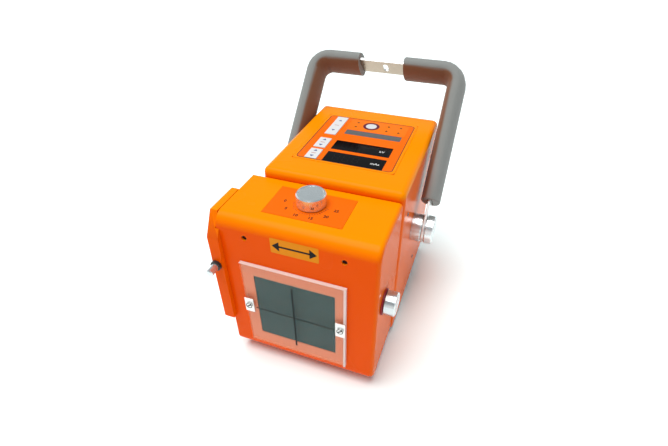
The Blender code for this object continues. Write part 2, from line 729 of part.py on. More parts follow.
def make_head_shell():
    """The head's moulded shell: a round brow and chin, a window in front and an open back."""
    shape = prism(head_outline(0, HEAD_BACK), across(HEAD_LEFT, HEAD_RIGHT))
    for x, radius, segments in ((HEAD_RIGHT, HEAD_RIGHT_EDGE, EDGE_STEPS), (HEAD_LEFT, HEAD_LEFT_EDGE, 1)):
        round_edges(
            shape,
            lambda a, b: max(abs(a.x - x), abs(b.x - x)) < GAP and min(a.y, b.y) < HEAD_BACK - GAP,
            radius,
            segments,
        )
    shell = add_piece("head_shell", shape, "orange_enamel")
    cut(shell, prism(head_outline(WALL, HEAD_BACK + WALL), across(HEAD_LEFT + WALL, HEAD_RIGHT - WALL)))
    opening = (WINDOW_WIDTH, 4 * WALL, WINDOW_HEIGHT)
    cut(shell, slab((BEAM.x, FRONT, BEAM.z), opening))
    for place in laser_places().values():
        depth = WALL + LASER_RECESS + LASER_LENGTH + GAP
        cut(shell, rod(place - Vector((0, WALL, 0)), (0, 1, 0), LASER_DIAMETER + 2 * GAP, depth))
    bush_hole = BUSH_DIAMETER + 2 * GAP
    for frame in (top_frame(), side_frame()):
        outward = frame.to_3x3().col[2]
        cut(shell, rod(frame.translation - WALL * outward, outward, bush_hole, 3 * WALL))
    low, high = dial_plate_corners(GAP)
    cut(shell, box((*low, dial_plate_bottom() - GAP), (*high, HEAD_TOP + WALL)))
    wires = Vector((HEAD_LEFT - WALL, FRONT + WIRE_HOLE_BACK, BEAM.z))
    cut(shell, rod(wires, (1, 0, 0), WIRE_HOLE_DIAMETER, 3 * WALL))


def make_head_back_plate():
    """The plate between the head and the body, with the beam port."""
    low = (HEAD_LEFT + WALL + GAP, HEAD_BACK - BACK_PLATE_THICKNESS, UNDERSIDE + WALL + GAP)
    high = (HEAD_RIGHT - WALL - GAP, HEAD_BACK, HEAD_TOP - WALL - GAP)
    plate = add_piece("head_back_plate", box(low, high), "aluminium")
    port = Vector((BEAM.x, HEAD_BACK - 2 * BACK_PLATE_THICKNESS, BEAM.z))
    cut(plate, rod(port, (0, 1, 0), PORT_OPENING, 3 * BACK_PLATE_THICKNESS, ROUND_STEPS))


def cover_outline(inset):
    """The lamp cover's side outline in y and z, moved inwards by an inset."""
    back = FRONT + COVER_BACK - inset
    front = COVER_FRONT + inset
    bottom = UNDERSIDE + COVER_BOTTOM + inset
    top = HEAD_TOP - inset
    outline = [(back, bottom), (back, top), (front + COVER_CHAMFER_RUN, top)]
    return outline + [(front, top - COVER_CHAMFER_DROP), (front, bottom)]


def make_lamp_cover():
    """The cover on the head's left, flush with its top, proud of its front and lipped round its edge."""
    shape = prism(cover_outline(0), across(COVER_LEFT, HEAD_LEFT + COVER_LIP))
    round_edges(shape, lambda a, b: max(a.x, b.x) < COVER_LEFT + GAP, COVER_EDGE, FINE_STEPS)
    cover = add_piece("lamp_cover", shape, "orange_enamel")
    far = HEAD_LEFT + 2 * COVER_LIP
    cut(cover, box((HEAD_LEFT - GAP, FRONT - GAP, 0), (far, HEAD_BACK, HEAD_TOP + WALL)))
    cut(cover, prism(cover_outline(COVER_WALL), across(COVER_LEFT + COVER_WALL, HEAD_LEFT)))
    stem_hole = BUTTON_STEM + 2 * RUNNING_GAP
    start = BUTTON_PLACE - Vector((0, COVER_WALL, 0))
    cut(cover, rod(start, (0, 1, 0), stem_hole, 3 * COVER_WALL))


def make_lamp_button():
    """The lamp's push button: a collar on the cover and a plunger that slides along +Y."""
    frame = facing(BUTTON_PLACE, (0, -1, 0))
    inner = BUTTON_DIAMETER / 2 + RUNNING_GAP
    outer = COLLAR_DIAMETER / 2
    profile = [(inner, GAP), (outer, GAP), (outer, COLLAR_LENGTH), (inner, COLLAR_LENGTH)]
    add_piece("button_collar", turned(profile, frame, SMALL_STEPS), "black_plastic")
    stem, head = BUTTON_STEM / 2, BUTTON_DIAMETER / 2
    back = -COVER_WALL - BUTTON_TAIL
    seat = BUTTON_TRAVEL + GAP
    profile = [(0, back), (stem, back), (stem, seat), (head, seat), (head, BUTTON_REACH - KNOB_CHAMFER)]
    profile += [(head - KNOB_CHAMFER, BUTTON_REACH), (0, BUTTON_REACH)]
    shape = turned(profile, frame, SMALL_STEPS)
    add_piece("lamp_button", shape, "polished_steel", BUTTON_PLACE)


def make_window():
    """The smoked pane in the opening, the clear plate in front of it and the two clips that hold it."""
    pane_size = (WINDOW_WIDTH - 2 * GAP, PANE_THICKNESS, WINDOW_HEIGHT - 2 * GAP)
    pane = slab((BEAM.x, FRONT + PANE_THICKNESS / 2, BEAM.z), pane_size)
    add_piece("beam_pane", pane, "smoked_acrylic")
    middle = BEAM.z + PLATE_RAISE
    low = (BEAM.x - PLATE_WIDTH / 2, PLATE_FRONT, middle - PLATE_HEIGHT / 2)
    high = (BEAM.x + PLATE_WIDTH / 2, FRONT - GAP, middle + PLATE_HEIGHT / 2)
    add_piece("window_plate", box(low, high), "clear_acrylic")
    clip_back = PLATE_FRONT - GAP
    for name, side in (("clip_left", -1), ("clip_right", 1)):
        x = BEAM.x + side * (PLATE_WIDTH - CLIP_WIDTH) / 2
        z = BEAM.z + CLIP_RAISE
        centre = (x, clip_back - CLIP_THICKNESS / 2, z)
        shape = slab(centre, (CLIP_WIDTH, CLIP_THICKNESS, CLIP_HEIGHT))
        clip = add_piece(name, shape, "brushed_steel")
        seat = Vector((x, clip_back - CLIP_THICKNESS / 2, z))
        length = CLIP_THICKNESS / 2 + CLIP_SCREW_HEIGHT
        join(clip, rod(seat, (0, -1, 0), CLIP_SCREW_DIAMETER, length))


def make_lasers():
    """The two laser modules behind their apertures."""
    for name, place in laser_places().items():
        shape = rod(place + Vector((0, LASER_RECESS, 0)), (0, 1, 0), LASER_DIAMETER, LASER_LENGTH)
        add_piece(name, shape, "brass")


def make_mirror_and_lamp():
    """The 45 degree mirror on its bracket and the lamp that shines across onto it."""
    frame = Matrix.Translation((BEAM.x, FRONT + MIRROR_BACK, 0)) @ Matrix.Rotation(MIRROR_ANGLE, 4, "Z")
    half = MIRROR_WIDTH / 2
    mirror_low, mirror_high = BEAM.z - MIRROR_HEIGHT / 2, BEAM.z + MIRROR_HEIGHT / 2
    floor = UNDERSIDE + WALL + GAP

    def block(low, high):
        shape = box(low, high)
        bmesh.ops.transform(shape, matrix=frame, verts=shape.verts)
        return shape

    add_piece("mirror", block((-half, -MIRROR_THICKNESS, mirror_low), (half, 0, mirror_high)), "mirror_glass")
    back = GAP + BRACKET_THICKNESS
    toe = back - BRACKET_FOOT
    instep = floor + BRACKET_THICKNESS
    outline = [(back, floor), (back, mirror_high), (GAP, mirror_high)]
    outline += [(GAP, instep), (toe, instep), (toe, floor)]
    shape = prism(outline, lambda d, z, end: frame @ Vector((half if end else -half, d, z)))
    bracket = add_piece("mirror_bracket", shape, "aluminium")
    side = half - BRACKET_BORDER
    opening_low = (-side, -BRACKET_THICKNESS, mirror_low + BRACKET_BORDER)
    opening_high = (side, 2 * back, mirror_high - BRACKET_BORDER)
    cut(bracket, block(opening_low, opening_high))
    lamp = Vector((HEAD_LEFT + WALL + GAP, FRONT + MIRROR_BACK, BEAM.z))
    add_piece("lamp_module", rod(lamp, (1, 0, 0), LAMP_DIAMETER, LAMP_LENGTH), "aluminium")


# Shutter drives
#
# Each drive is made in a frame of its own: s along the racks, d from front to back and w out through
# the wall that the dial stands on, from the wall's inner face.

RACK_PITCH = math.tau * PITCH_RADIUS / PINION_TEETH
TOOTH_HALF = RACK_PITCH / 4 - BACKLASH / 2
RACK_ROOT = PITCH_RADIUS + DEDENDUM
RACK_BACK = RACK_ROOT + RACK_BACKING
RACK_BOTTOM = -RACK_DROP - RACK_THICKNESS
BENT_SHEET = RACK_BOTTOM - BLADE_SPACING - BLADE_THICKNESS


def drive_frame(origin, slide, outward):
    """The frame of a drive from its origin and two of its axes."""
    frame = Matrix.Translation(origin)
    for row in range(3):
        frame[row][0] = slide[row]
        frame[row][1] = (0, 1, 0)[row]
        frame[row][2] = outward[row]
    return frame


def top_frame():
    origin = (DIAL_X, FRONT + TOP_DIAL_BACK, HEAD_TOP - WALL)
    return drive_frame(origin, (1, 0, 0), (0, 0, 1))


def side_frame():
    origin = (HEAD_RIGHT - WALL, FRONT + SIDE_DIAL_BACK, UNDERSIDE + SIDE_DIAL_HEIGHT)
    return drive_frame(origin, (0, 0, -1), (1, 0, 0))


def dial_plate_bottom():
    return HEAD_TOP + DIAL_PLATE_PROUD - DIAL_PLATE_THICKNESS


def pinion_outline():
    """The pinion's outline: involute flanks, with a tooth space towards each rack."""
    base = PITCH_RADIUS * math.cos(PRESSURE_ANGLE)
    pitch_involute = math.tan(PRESSURE_ANGLE) - PRESSURE_ANGLE

    def half_angle(radius):
        pressure = math.acos(min(1, base / radius))
        return TOOTH_HALF / PITCH_RADIUS + pitch_involute - (math.tan(pressure) - pressure)

    tip = PITCH_RADIUS + ADDENDUM
    flank = [(PITCH_RADIUS - DEDENDUM, half_angle(base))]
    flank += [(radius, half_angle(radius)) for radius in (base, PITCH_RADIUS, tip)]
    outline = []
    for tooth in range(PINION_TEETH):
        middle = math.tau * (tooth + 0.5) / PINION_TEETH - math.pi / 2
        for radius, half in flank:
            outline.append((radius * math.cos(middle - half), radius * math.sin(middle - half)))
        for radius, half in reversed(flank):
            outline.append((radius * math.cos(middle + half), radius * math.sin(middle + half)))
    return outline


def rack_outline(start, end, first_tooth, last_tooth, side):
    """A rack's outline in s and d: teeth towards the pinion, on its front (-1) or back (1)."""
    tip = PITCH_RADIUS - ADDENDUM
    tip_half = TOOTH_HALF - ADDENDUM * math.tan(PRESSURE_ANGLE)
    root_half = TOOTH_HALF + DEDENDUM * math.tan(PRESSURE_ANGLE)
    outline = [(start, side * RACK_BACK), (start, side * RACK_ROOT)]
    for tooth in range(math.ceil(first_tooth / RACK_PITCH), math.floor(last_tooth / RACK_PITCH) + 1):
        middle = tooth * RACK_PITCH
        outline += [(middle - root_half, side * RACK_ROOT), (middle - tip_half, side * tip)]
        outline += [(middle + tip_half, side * tip), (middle + root_half, side * RACK_ROOT)]
    return outline + [(end, side * RACK_ROOT), (end, side * RACK_BACK)]


def make_blade(name, frame, rack, sheet, sheet_span, side):
    """A blade: a toothed bar with a guide groove in its back and a bent sheet that hangs from it."""

    def in_bar(s, d, end):
        return frame @ Vector((s, d, -RACK_DROP if end else RACK_BOTTOM))

    def in_sheet(d, w, end):
        return frame @ Vector((sheet_span[1] if end else sheet_span[0], d, w))

    blade = add_piece(name, prism(rack, in_bar), "slate_steel", frame.translation)
    join(blade, prism(sheet, in_sheet))
    groove_middle = (RACK_BOTTOM - RACK_DROP) / 2
    low = Vector((-HEAD_WIDTH, side * (RACK_BACK - RACK_GROOVE), groove_middle - RACK_GROOVE_WIDTH / 2))
    high = Vector((HEAD_WIDTH, side * (RACK_BACK + RACK_BACKING), groove_middle + RACK_GROOVE_WIDTH / 2))
    groove = box([min(pair) for pair in zip(low, high)], [max(pair) for pair in zip(low, high)])
    bmesh.ops.transform(groove, matrix=frame, verts=groove.verts)
    bmesh.ops.recalc_face_normals(groove, faces=groove.faces)
    cut(blade, groove)


def make_blades(frame, front_name, back_name):
    """A drive's two blades: the front one opens along +s and the back one along -s."""
    beam = frame.inverted() @ Vector((BEAM.x, FRONT, BEAM.z))
    reach = BLADE_TRAVEL + RACK_MARGIN
    sheet_top = -RACK_DROP - GAP
    sheet_bottom = beam.z - BLADE_HALF
    front_span = (beam.x - BLADE_OVERLAP, beam.x + BLADE_HALF)
    front_end = max(RACK_MARGIN, front_span[1])
    front_rack = rack_outline(-reach, front_end, GAP + RACK_PITCH - reach, RACK_MARGIN - RACK_PITCH, -1)
    face = GAP - RACK_BACK
    front_sheet = [(face, sheet_top), (face + BLADE_THICKNESS, sheet_top)]
    front_sheet += [(face + BLADE_THICKNESS, sheet_bottom), (face, sheet_bottom)]
    make_blade(front_name, frame, front_rack, front_sheet, front_span, -1)
    back_span = (beam.x - BLADE_HALF, beam.x + BLADE_OVERLAP)
    back_start = min(-RACK_MARGIN, back_span[0])
    back_rack = rack_outline(back_start, reach, RACK_PITCH - RACK_MARGIN, reach - GAP - RACK_PITCH, 1)
    near = face + BLADE_THICKNESS + BLADE_SPACING
    far = RACK_BACK - GAP
    bend_top = BENT_SHEET + BLADE_THICKNESS
    back_sheet = [(far, sheet_top), (far, BENT_SHEET), (near + BLADE_THICKNESS, BENT_SHEET)]
    back_sheet += [(near + BLADE_THICKNESS, sheet_bottom), (near, sheet_bottom), (near, bend_top)]
    back_sheet += [(far - BLADE_THICKNESS, bend_top), (far - BLADE_THICKNESS, sheet_top)]
    make_blade(back_name, frame, back_rack, back_sheet, back_span, 1)


def make_guide(name, frame):
    """The channel on the wall's inner face whose ribs carry both racks in their grooves."""
    inner = RACK_BACK + GAP
    outer = inner + GUIDE_WALL
    plate_bottom = -GAP - GUIDE_WALL
    middle = (RACK_BOTTOM - RACK_DROP) / 2
    rib_half = RACK_GROOVE_WIDTH / 2 - GAP
    rib_tip = RACK_BACK - RACK_GROOVE + GAP
    right = [(outer, -GAP), (outer, RACK_BOTTOM), (inner, RACK_BOTTOM), (inner, middle - rib_half)]
    right += [(rib_tip, middle - rib_half), (rib_tip, middle + rib_half)]
    right += [(inner, middle + rib_half), (inner, plate_bottom)]
    outline = right + [(-d, w) for d, w in reversed(right)]
    half = GUIDE_LENGTH / 2
    guide = add_piece(
        name, prism(outline, lambda d, w, end: frame @ Vector((half if end else -half, d, w))), "aluminium"
    )
    outward = frame.to_3x3().col[2]
    start = frame.translation - 2 * GUIDE_WALL * outward
    cut(guide, rod(start, outward, BUSH_FLANGE_DIAMETER + 2 * GAP, 3 * GUIDE_WALL))


def make_dial(prefix, frame, bush_top, knob_base, knob_diameter, knob_height):
    """A dial: the knob, its shaft with the pinion, and the bush that carries the shaft in the wall."""
    outward = frame.to_3x3().col[2]
    pinion_low, pinion_high = RACK_BOTTOM - GAP, GAP - RACK_DROP
    shape = prism(
        pinion_outline(), lambda s, d, end: frame @ Vector((s, d, pinion_high if end else pinion_low))
    )
    shaft = add_piece(f"{prefix}_dial_shaft", shape, "polished_steel", frame.translation)
    shaft_end = knob_base + KNOB_SOCKET - GAP
    start = frame.translation + (pinion_low + GAP) * outward
    join(shaft, rod(start, outward, SHAFT_DIAMETER, shaft_end - pinion_low - GAP))
    radius, bore = knob_diameter / 2, SHAFT_DIAMETER / 2 + GAP
    dish = radius - KNOB_CHAMFER - KNOB_RIM
    profile = [(0, KNOB_SOCKET), (bore, KNOB_SOCKET), (bore, 0), (radius - KNOB_CHAMFER / 2, 0)]
    profile += [(radius, KNOB_CHAMFER / 2), (radius, knob_height - KNOB_CHAMFER)]
    profile += [(radius - KNOB_CHAMFER, knob_height), (dish, knob_height)]
    profile += [(dish - KNOB_DISH, knob_height - KNOB_DISH), (0, knob_height - KNOB_DISH)]
    base = frame @ Matrix.Translation((0, 0, knob_base))
    add_piece(f"{prefix}_dial", turned(profile, base, ROUND_STEPS), "polished_steel", base.translation)
    inner, outer, flange = SHAFT_DIAMETER / 2 + RUNNING_GAP, BUSH_DIAMETER / 2, BUSH_FLANGE_DIAMETER / 2
    flange_low = -GAP - BUSH_FLANGE_THICKNESS
    profile = [(inner, flange_low), (flange, flange_low), (flange, -GAP), (outer, -GAP)]
    profile += [(outer, bush_top), (inner, bush_top)]
    add_piece(f"{prefix}_bush", turned(profile, frame, SMALL_STEPS), "brass")


def make_shutters():
    """Both dials with their pinions, guides and blades, and the plate and ring under the dials."""
    top, side = top_frame(), side_frame()
    recess = HEAD_TOP - dial_plate_bottom() + GAP
    top_base = WALL + DIAL_PLATE_PROUD + KNOB_LIFT
    make_dial("top", top, WALL - recess - GAP, top_base, TOP_KNOB_DIAMETER, TOP_KNOB_HEIGHT)
    side_base = WALL + GAP + SIDE_RING_THICKNESS + KNOB_LIFT
    make_dial("side", side, WALL - GAP, side_base, SIDE_KNOB_DIAMETER, SIDE_KNOB_HEIGHT)
    make_guide("top_rack_guide", top)
    make_guide("side_rack_guide", side)
    make_blades(top, "blade_right", "blade_left")
    make_blades(side, "blade_lower", "blade_upper")
    low, high = dial_plate_corners(0)
    shape = box((*low, dial_plate_bottom()), (*high, HEAD_TOP + DIAL_PLATE_PROUD))
    plate = add_piece("dial_plate", shape, "orange_print")
    shaft_hole = SHAFT_DIAMETER + 2 * RUNNING_GAP
    cut(plate, rod(top.translation, (0, 0, 1), shaft_hole, 2 * WALL))
    bore, rim = shaft_hole / 2, SIDE_RING_DIAMETER / 2
    low, high = WALL + GAP, WALL + GAP + SIDE_RING_THICKNESS
    shape = turned([(bore, low), (rim, low), (rim, high), (bore, high)], side, ROUND_STEPS)
    add_piece("side_dial_ring", shape, "red_ring")


# Handle


def make_pivots():
    """On each side, the boss with its stud and the clamp knob on the stud's end."""
    boss, stud = BOSS_DIAMETER / 2, STUD_DIAMETER / 2
    knob_base = BOSS_LENGTH + GAP + STRAP_THICKNESS + GAP
    stud_end = knob_base + STUD_REACH
    boss_profile = [(0, 0), (boss, 0), (boss, BOSS_LENGTH - CLAMP_CHAMFER)]
    boss_profile += [(boss - CLAMP_CHAMFER, BOSS_LENGTH), (stud, BOSS_LENGTH)]
    boss_profile += [(stud, stud_end), (0, stud_end)]
    bore, rim = stud + RUNNING_GAP, CLAMP_DIAMETER / 2
    knob_profile = [(0, STUD_REACH + GAP), (bore, STUD_REACH + GAP), (bore, 0), (rim - CLAMP_CHAMFER, 0)]
    knob_profile += [(rim, CLAMP_CHAMFER), (rim, CLAMP_LENGTH - CLAMP_CHAMFER)]
    knob_profile += [(rim - CLAMP_CHAMFER, CLAMP_LENGTH), (0, CLAMP_LENGTH)]
    for name, side in (("left", -1), ("right", 1)):
        axis = (side, 0, 0)
        seat = Vector((side * (BODY_SIDE + GAP), PIVOT.y, PIVOT.z))
        shape = turned(boss_profile, facing(seat, axis), ROUND_STEPS)
        add_piece(f"pivot_boss_{name}", shape, "polished_steel")
        base = seat + knob_base * Vector(axis)
        shape = turned(knob_profile, facing(base, axis), ROUND_STEPS)
        add_piece(f"clamp_knob_{name}", shape, "polished_steel", base)


def make_strap(pivot):
    """The bail: a flat strap bent twice, with a stud hole in each arm and a slot in the crossbar."""

    def run(offset):
        corner = (STRAP_SIDE - BAIL_BEND, BAIL_REACH - BAIL_BEND)
        bend = arc(corner, BAIL_BEND + offset, 0, 90, ARC_STEPS)
        arm = [(STRAP_SIDE + offset, -STRAP_TAIL), *bend]
        return arm + [(-x, z) for x, z in reversed(arm)]

    half_thickness, half_width = STRAP_THICKNESS / 2, STRAP_WIDTH / 2
    outline = run(half_thickness) + run(-half_thickness)[::-1]
    shape = prism(outline, lambda x, z, end: (x, half_width if end else -half_width, z))
    round_edges(
        shape,
        lambda a, b: max(a.z, b.z) < GAP - STRAP_TAIL and abs(a.y - b.y) < GAP,
        half_width - GAP,
        EDGE_STEPS,
    )
    strap = add_piece("handle_strap", shape, "brushed_steel")
    strap.parent = pivot
    reach = STRAP_SIDE + STRAP_WIDTH
    cut(strap, rod((-reach, 0, 0), (1, 0, 0), STUD_DIAMETER + 2 * RUNNING_GAP, 2 * reach))
    slot_corner = (STRAP_SLOT_WIDTH / 2, STRAP_SLOT_LENGTH / 2)
    slot = rounded_rectangle([-place for place in slot_corner], slot_corner, slot_corner[0] - GAP)
    cut(strap, prism(slot, upright(BAIL_REACH - STRAP_WIDTH, BAIL_REACH + STRAP_WIDTH)))


def grip_path(end):
    """Stations along a grip on the +X side: centre and outward normal in x and z."""
    corner = (STRAP_SIDE - BAIL_BEND, BAIL_REACH - BAIL_BEND)
    stations = [((STRAP_SIDE, GRIP_START), (1, 0))]
    for place in arc(corner, BAIL_BEND, 0, 90, ARC_STEPS):
        normal = ((place[0] - corner[0]) / BAIL_BEND, (place[1] - corner[1]) / BAIL_BEND)
        stations.append((place, normal))
    return stations + [((end, BAIL_REACH), (0, 1))]


def make_grip(name, side, end, pivot):
    """A foam tube over one arm and part of the crossbar, oval outside and slotted for the strap."""
    slot_half = STRAP_WIDTH / 2 + GAP
    slot_rise = STRAP_THICKNESS / 2 + GAP
    shape = bmesh.new()
    tubes = ([], [])
    for (x, z), (normal_x, normal_z) in grip_path(end):
        rings = ([], [])
        for step in range(GRIP_STEPS):
            turn = math.tau * step / GRIP_STEPS
            across_strap, along_normal = math.cos(turn), math.sin(turn)
            oval = (across_strap * GRIP_WIDTH / 2, along_normal * GRIP_THICKNESS / 2)
            slot = (
                max(-1, min(1, 2 * across_strap)) * slot_half,
                max(-1, min(1, 2 * along_normal)) * slot_rise,
            )
            for ring, (wide, rise) in zip(rings, (oval, slot)):
                ring.append(shape.verts.new((side * (x + normal_x * rise), wide, z + normal_z * rise)))
        for tube, ring in zip(tubes, rings):
            tube.append(ring)
    outside, inside = tubes
    bands = [*zip(outside, outside[1:]), *zip(inside, inside[1:])]
    bands += [(outside[0], inside[0]), (outside[-1], inside[-1])]
    for first, second in bands:
        for step in range(GRIP_STEPS):
            following = (step + 1) % GRIP_STEPS
            shape.faces.new((first[step], first[following], second[following], second[step]))
    grip = add_piece(name, shape, "grey_foam")
    grip.parent = pivot


def make_handle():
    """The bail and its grips, upright in a frame on the pivot axis that leans back."""
    pivot = bpy.data.objects.new("handle_pivot", None)
    pivot.location = PIVOT
    pivot.rotation_euler = (-HANDLE_LEAN, 0, 0)
    bpy.context.collection.objects.link(pivot)
    make_strap(pivot)
    for name, side in (("grip_left", -1), ("grip_right", 1)):
        make_grip(name, side, GRIP_ENDS[name], pivot)


def main():
    for item in list(bpy.data.objects):
        bpy.data.objects.remove(item, do_unlink=True)
    make_body_cover()
    make_base_tray()
    make_feet()
    make_rear_panel()
    make_power_inlet()
    make_power_switch()
    make_handswitch_socket()
    make_control_panel()
    make_tube_tank()
    make_power_electronics()
    make_head_shell()
    make_head_back_plate()
    make_lamp_cover()
    make_lamp_button()
    make_window()
    make_lasers()
    make_mirror_and_lamp()
    make_shutters()
    make_pivots()
    make_handle()


main()
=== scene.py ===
"""Looks of a portable X-ray generator with a light-beam collimator head and a padded bail handle."""

import json
import math

import bmesh
import bpy
from mathutils import Matrix, Vector


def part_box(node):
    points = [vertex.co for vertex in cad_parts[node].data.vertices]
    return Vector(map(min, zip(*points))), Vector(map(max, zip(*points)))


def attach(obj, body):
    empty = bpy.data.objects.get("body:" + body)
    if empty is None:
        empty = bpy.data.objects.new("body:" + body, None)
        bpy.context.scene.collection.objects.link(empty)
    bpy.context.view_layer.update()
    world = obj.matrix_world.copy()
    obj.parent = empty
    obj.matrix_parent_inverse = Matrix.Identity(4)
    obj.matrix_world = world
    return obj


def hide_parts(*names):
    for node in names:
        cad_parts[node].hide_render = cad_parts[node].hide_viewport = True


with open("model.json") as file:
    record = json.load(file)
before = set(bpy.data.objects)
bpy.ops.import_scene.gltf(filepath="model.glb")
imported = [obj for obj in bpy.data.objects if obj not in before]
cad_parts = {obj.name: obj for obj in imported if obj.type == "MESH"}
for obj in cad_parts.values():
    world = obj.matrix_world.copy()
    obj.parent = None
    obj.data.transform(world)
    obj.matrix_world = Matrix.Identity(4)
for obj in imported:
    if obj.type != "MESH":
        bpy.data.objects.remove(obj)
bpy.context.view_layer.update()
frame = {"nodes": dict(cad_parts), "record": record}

# Camera: a small hand camera held above the right front corner of the unit, looking down at it.
# Its place, its turn and its lens were fitted to the outlines in the photograph.
MM = 0.001
camera_place = Vector((149.064, -451.548, 483.198)) * MM
camera_yaw = math.radians(-20.929)
camera_pitch = math.radians(-37.614)
camera_roll = math.radians(-0.754)
focal_pixels = 439.655
photo_width = 668
sensor_width = 36
shift_right = 0.0021
shift_up = 0.00415

ahead = Vector((
    math.sin(camera_yaw) * math.cos(camera_pitch),
    math.cos(camera_yaw) * math.cos(camera_pitch),
    math.sin(camera_pitch),
))
level = Vector((math.cos(camera_yaw), -math.sin(camera_yaw), 0))
upward = level.cross(ahead)
to_right = level * math.cos(camera_roll) + upward * math.sin(camera_roll)
to_top = upward * math.cos(camera_roll) - level * math.sin(camera_roll)
camera_turn = Matrix((to_right, to_top, -ahead)).transposed().to_4x4()

bpy.ops.object.select_all(action="DESELECT")
bpy.ops.object.camera_add()
camera = bpy.context.object
camera.name = "photo_camera"
camera.matrix_world = Matrix.Translation(camera_place) @ camera_turn
camera.data.sensor_width = sensor_width
camera.data.lens = focal_pixels / photo_width * sensor_width
camera.data.shift_x = shift_right
camera.data.shift_y = shift_up
bpy.context.scene.camera = camera

# Studio: a wide sheet of white paper under the unit, one broad soft lamp overhead and pale walls.
# The walls are white near the floor and greyer above, which the metal and the paint reflect.
# Seen directly, the paper is brighter than it is as a source of light, so only the unit's shadow shows on it.
bpy.context.scene.view_settings.view_transform = "Standard"


class Wire:
    """A shader socket that Python operators work on, each of them adding one Math node."""

    def __init__(self, tree, socket=None):
        self.tree = tree
        self.socket = socket

    def node(self, kind, settings, values, output=0):
        """Adds a node, gives it its settings and its sockets' values or links, and returns an output."""
        made = self.tree.nodes.new(kind)
        for name, setting in settings.items():
            if name == "stops":
                for stop, (position, colour) in zip(made.color_ramp.elements, setting):
                    stop.position = position
                    stop.color = colour
            else:
                setattr(made, name, setting)
        for name, value in values.items():
            if isinstance(value, Wire):
                self.tree.links.new(value.socket, made.inputs[name])
            else:
                made.inputs[name].default_value = value
        return Wire(self.tree, made.outputs[output])

    def math(self, operation, first, second=0.0):
        return self.node("ShaderNodeMath", {"operation": operation}, {0: first, 1: second})

    def __add__(self, other):
        return self.math("ADD", self, other)

    __radd__ = __add__

    def __sub__(self, other):
        return self.math("SUBTRACT", self, other)

    def __rsub__(self, other):
        return self.math("SUBTRACT", other, self)

    def __mul__(self, other):
        return self.math("MULTIPLY", self, other)

    __rmul__ = __mul__

    def __lt__(self, other):
        return self.math("LESS_THAN", self, other)

    def __gt__(self, other):
        return self.math("GREATER_THAN", self, other)

    def __abs__(self):
        return self.math("ABSOLUTE", self)

    def larger(self, other):
        return self.math("MAXIMUM", self, other)

    def along(self, axis):
        """The share of a vector along X, Y or Z."""
        return self.node("ShaderNodeSeparateXYZ", {}, {0: self}, axis)

    def mix(self, colour, other_colour):
        """One colour where this value is 0 and the other where it is 1."""
        shades = {0: self, 6: (*colour, 1), 7: (*other_colour, 1)}
        return self.node("ShaderNodeMix", {"data_type": "RGBA"}, shades, 2)


def seen_directly(wire):
    """1 for rays from the camera, and for those that metal and glass send on, and 0 for light."""
    seen = wire.node("ShaderNodeLightPath", {}, {}, "Is Camera Ray")
    for ray in ("Is Glossy Ray", "Is Transmission Ray"):
        seen = seen.larger(wire.node("ShaderNodeLightPath", {}, {}, ray))
    return seen


floor_span = 9
paper_lighting = (0.92, 0.92, 0.92)
paper_seen = (1.11, 1.2, 1.19)
bpy.ops.mesh.primitive_grid_add(x_subdivisions=2, y_subdivisions=2, size=floor_span)
floor = bpy.context.object
floor.name = "paper_floor"
white_paper = bpy.data.materials.new("white_paper")
white_paper.use_nodes = True
floor.data.materials.append(white_paper)
paper = white_paper.node_tree.nodes["Principled BSDF"]
paper.inputs["Base Color"].default_value = (*paper_lighting, 1)
paper.inputs["Roughness"].default_value = 0.9
paper.inputs["Specular IOR Level"].default_value = 0.1
sheet = Wire(white_paper.node_tree)
lighting = Wire(white_paper.node_tree, paper.outputs[0])
bleached = sheet.node("ShaderNodeBsdfDiffuse", {}, {"Color": (*paper_seen, 1)})
either = sheet.node("ShaderNodeMixShader", {}, {0: seen_directly(sheet), 1: lighting, 2: bleached})
sheet_end = white_paper.node_tree.nodes["Material Output"]
white_paper.node_tree.links.new(either.socket, sheet_end.inputs["Surface"])

fill_level = 0.48
walls_low = (0.25, (1, 1, 1, 1))
walls_high = (0.6, (0.30, 0.35, 0.37, 1))
world = bpy.data.worlds.new("pale_walls")
world.use_nodes = True
bpy.context.scene.world = world
sky = Wire(world.node_tree)
direction = sky.node("ShaderNodeTexCoord", {}, {}, "Generated")
walls = sky.node("ShaderNodeValToRGB", {"stops": [walls_low, walls_high]}, {0: direction.along("Z")})
background = world.node_tree.nodes["Background"]
world.node_tree.links.new(walls.socket, background.inputs["Color"])
strength = fill_level + seen_directly(sky) * (1 - fill_level)
world.node_tree.links.new(strength.socket, background.inputs["Strength"])

lamp_turn = (math.radians(5), math.radians(-9), 0)
lamp_level = 3.1
lamp_spread = math.radians(50)
bpy.ops.object.light_add(type="SUN", rotation=lamp_turn)
overhead = bpy.context.object
overhead.name = "overhead_lamp"
overhead.data.energy = lamp_level
overhead.data.angle = lamp_spread

# Painted housing: the body cover, the collimator head and its lamp cover, glossy orange on moulded shells.
# The paint is sprayed, so it has a fine orange-peel ripple and its gloss varies slightly.
# Painted light: faces that look up and the body's upper edge are painted a lighter amber, as if lit from
# above, and right-facing faces a little of it.
node_bodies = {}
for body, members in frame["record"]["behaviour"]["bodies"].items():
    for member in members:
        node_bodies[member] = body
smooth_angle = math.radians(32)
flat_angle = math.radians(0.2)
merge_distance = 0.005 * MM


def start_editing(piece, mode):
    """Leaves only this piece selected and opens it in edit mode with nothing picked."""
    bpy.ops.object.select_all(action="DESELECT")
    piece.select_set(True)
    bpy.context.view_layer.objects.active = piece
    bpy.ops.object.mode_set(mode="EDIT")
    bpy.ops.mesh.select_mode(type=mode)
    bpy.ops.mesh.select_all(action="DESELECT")


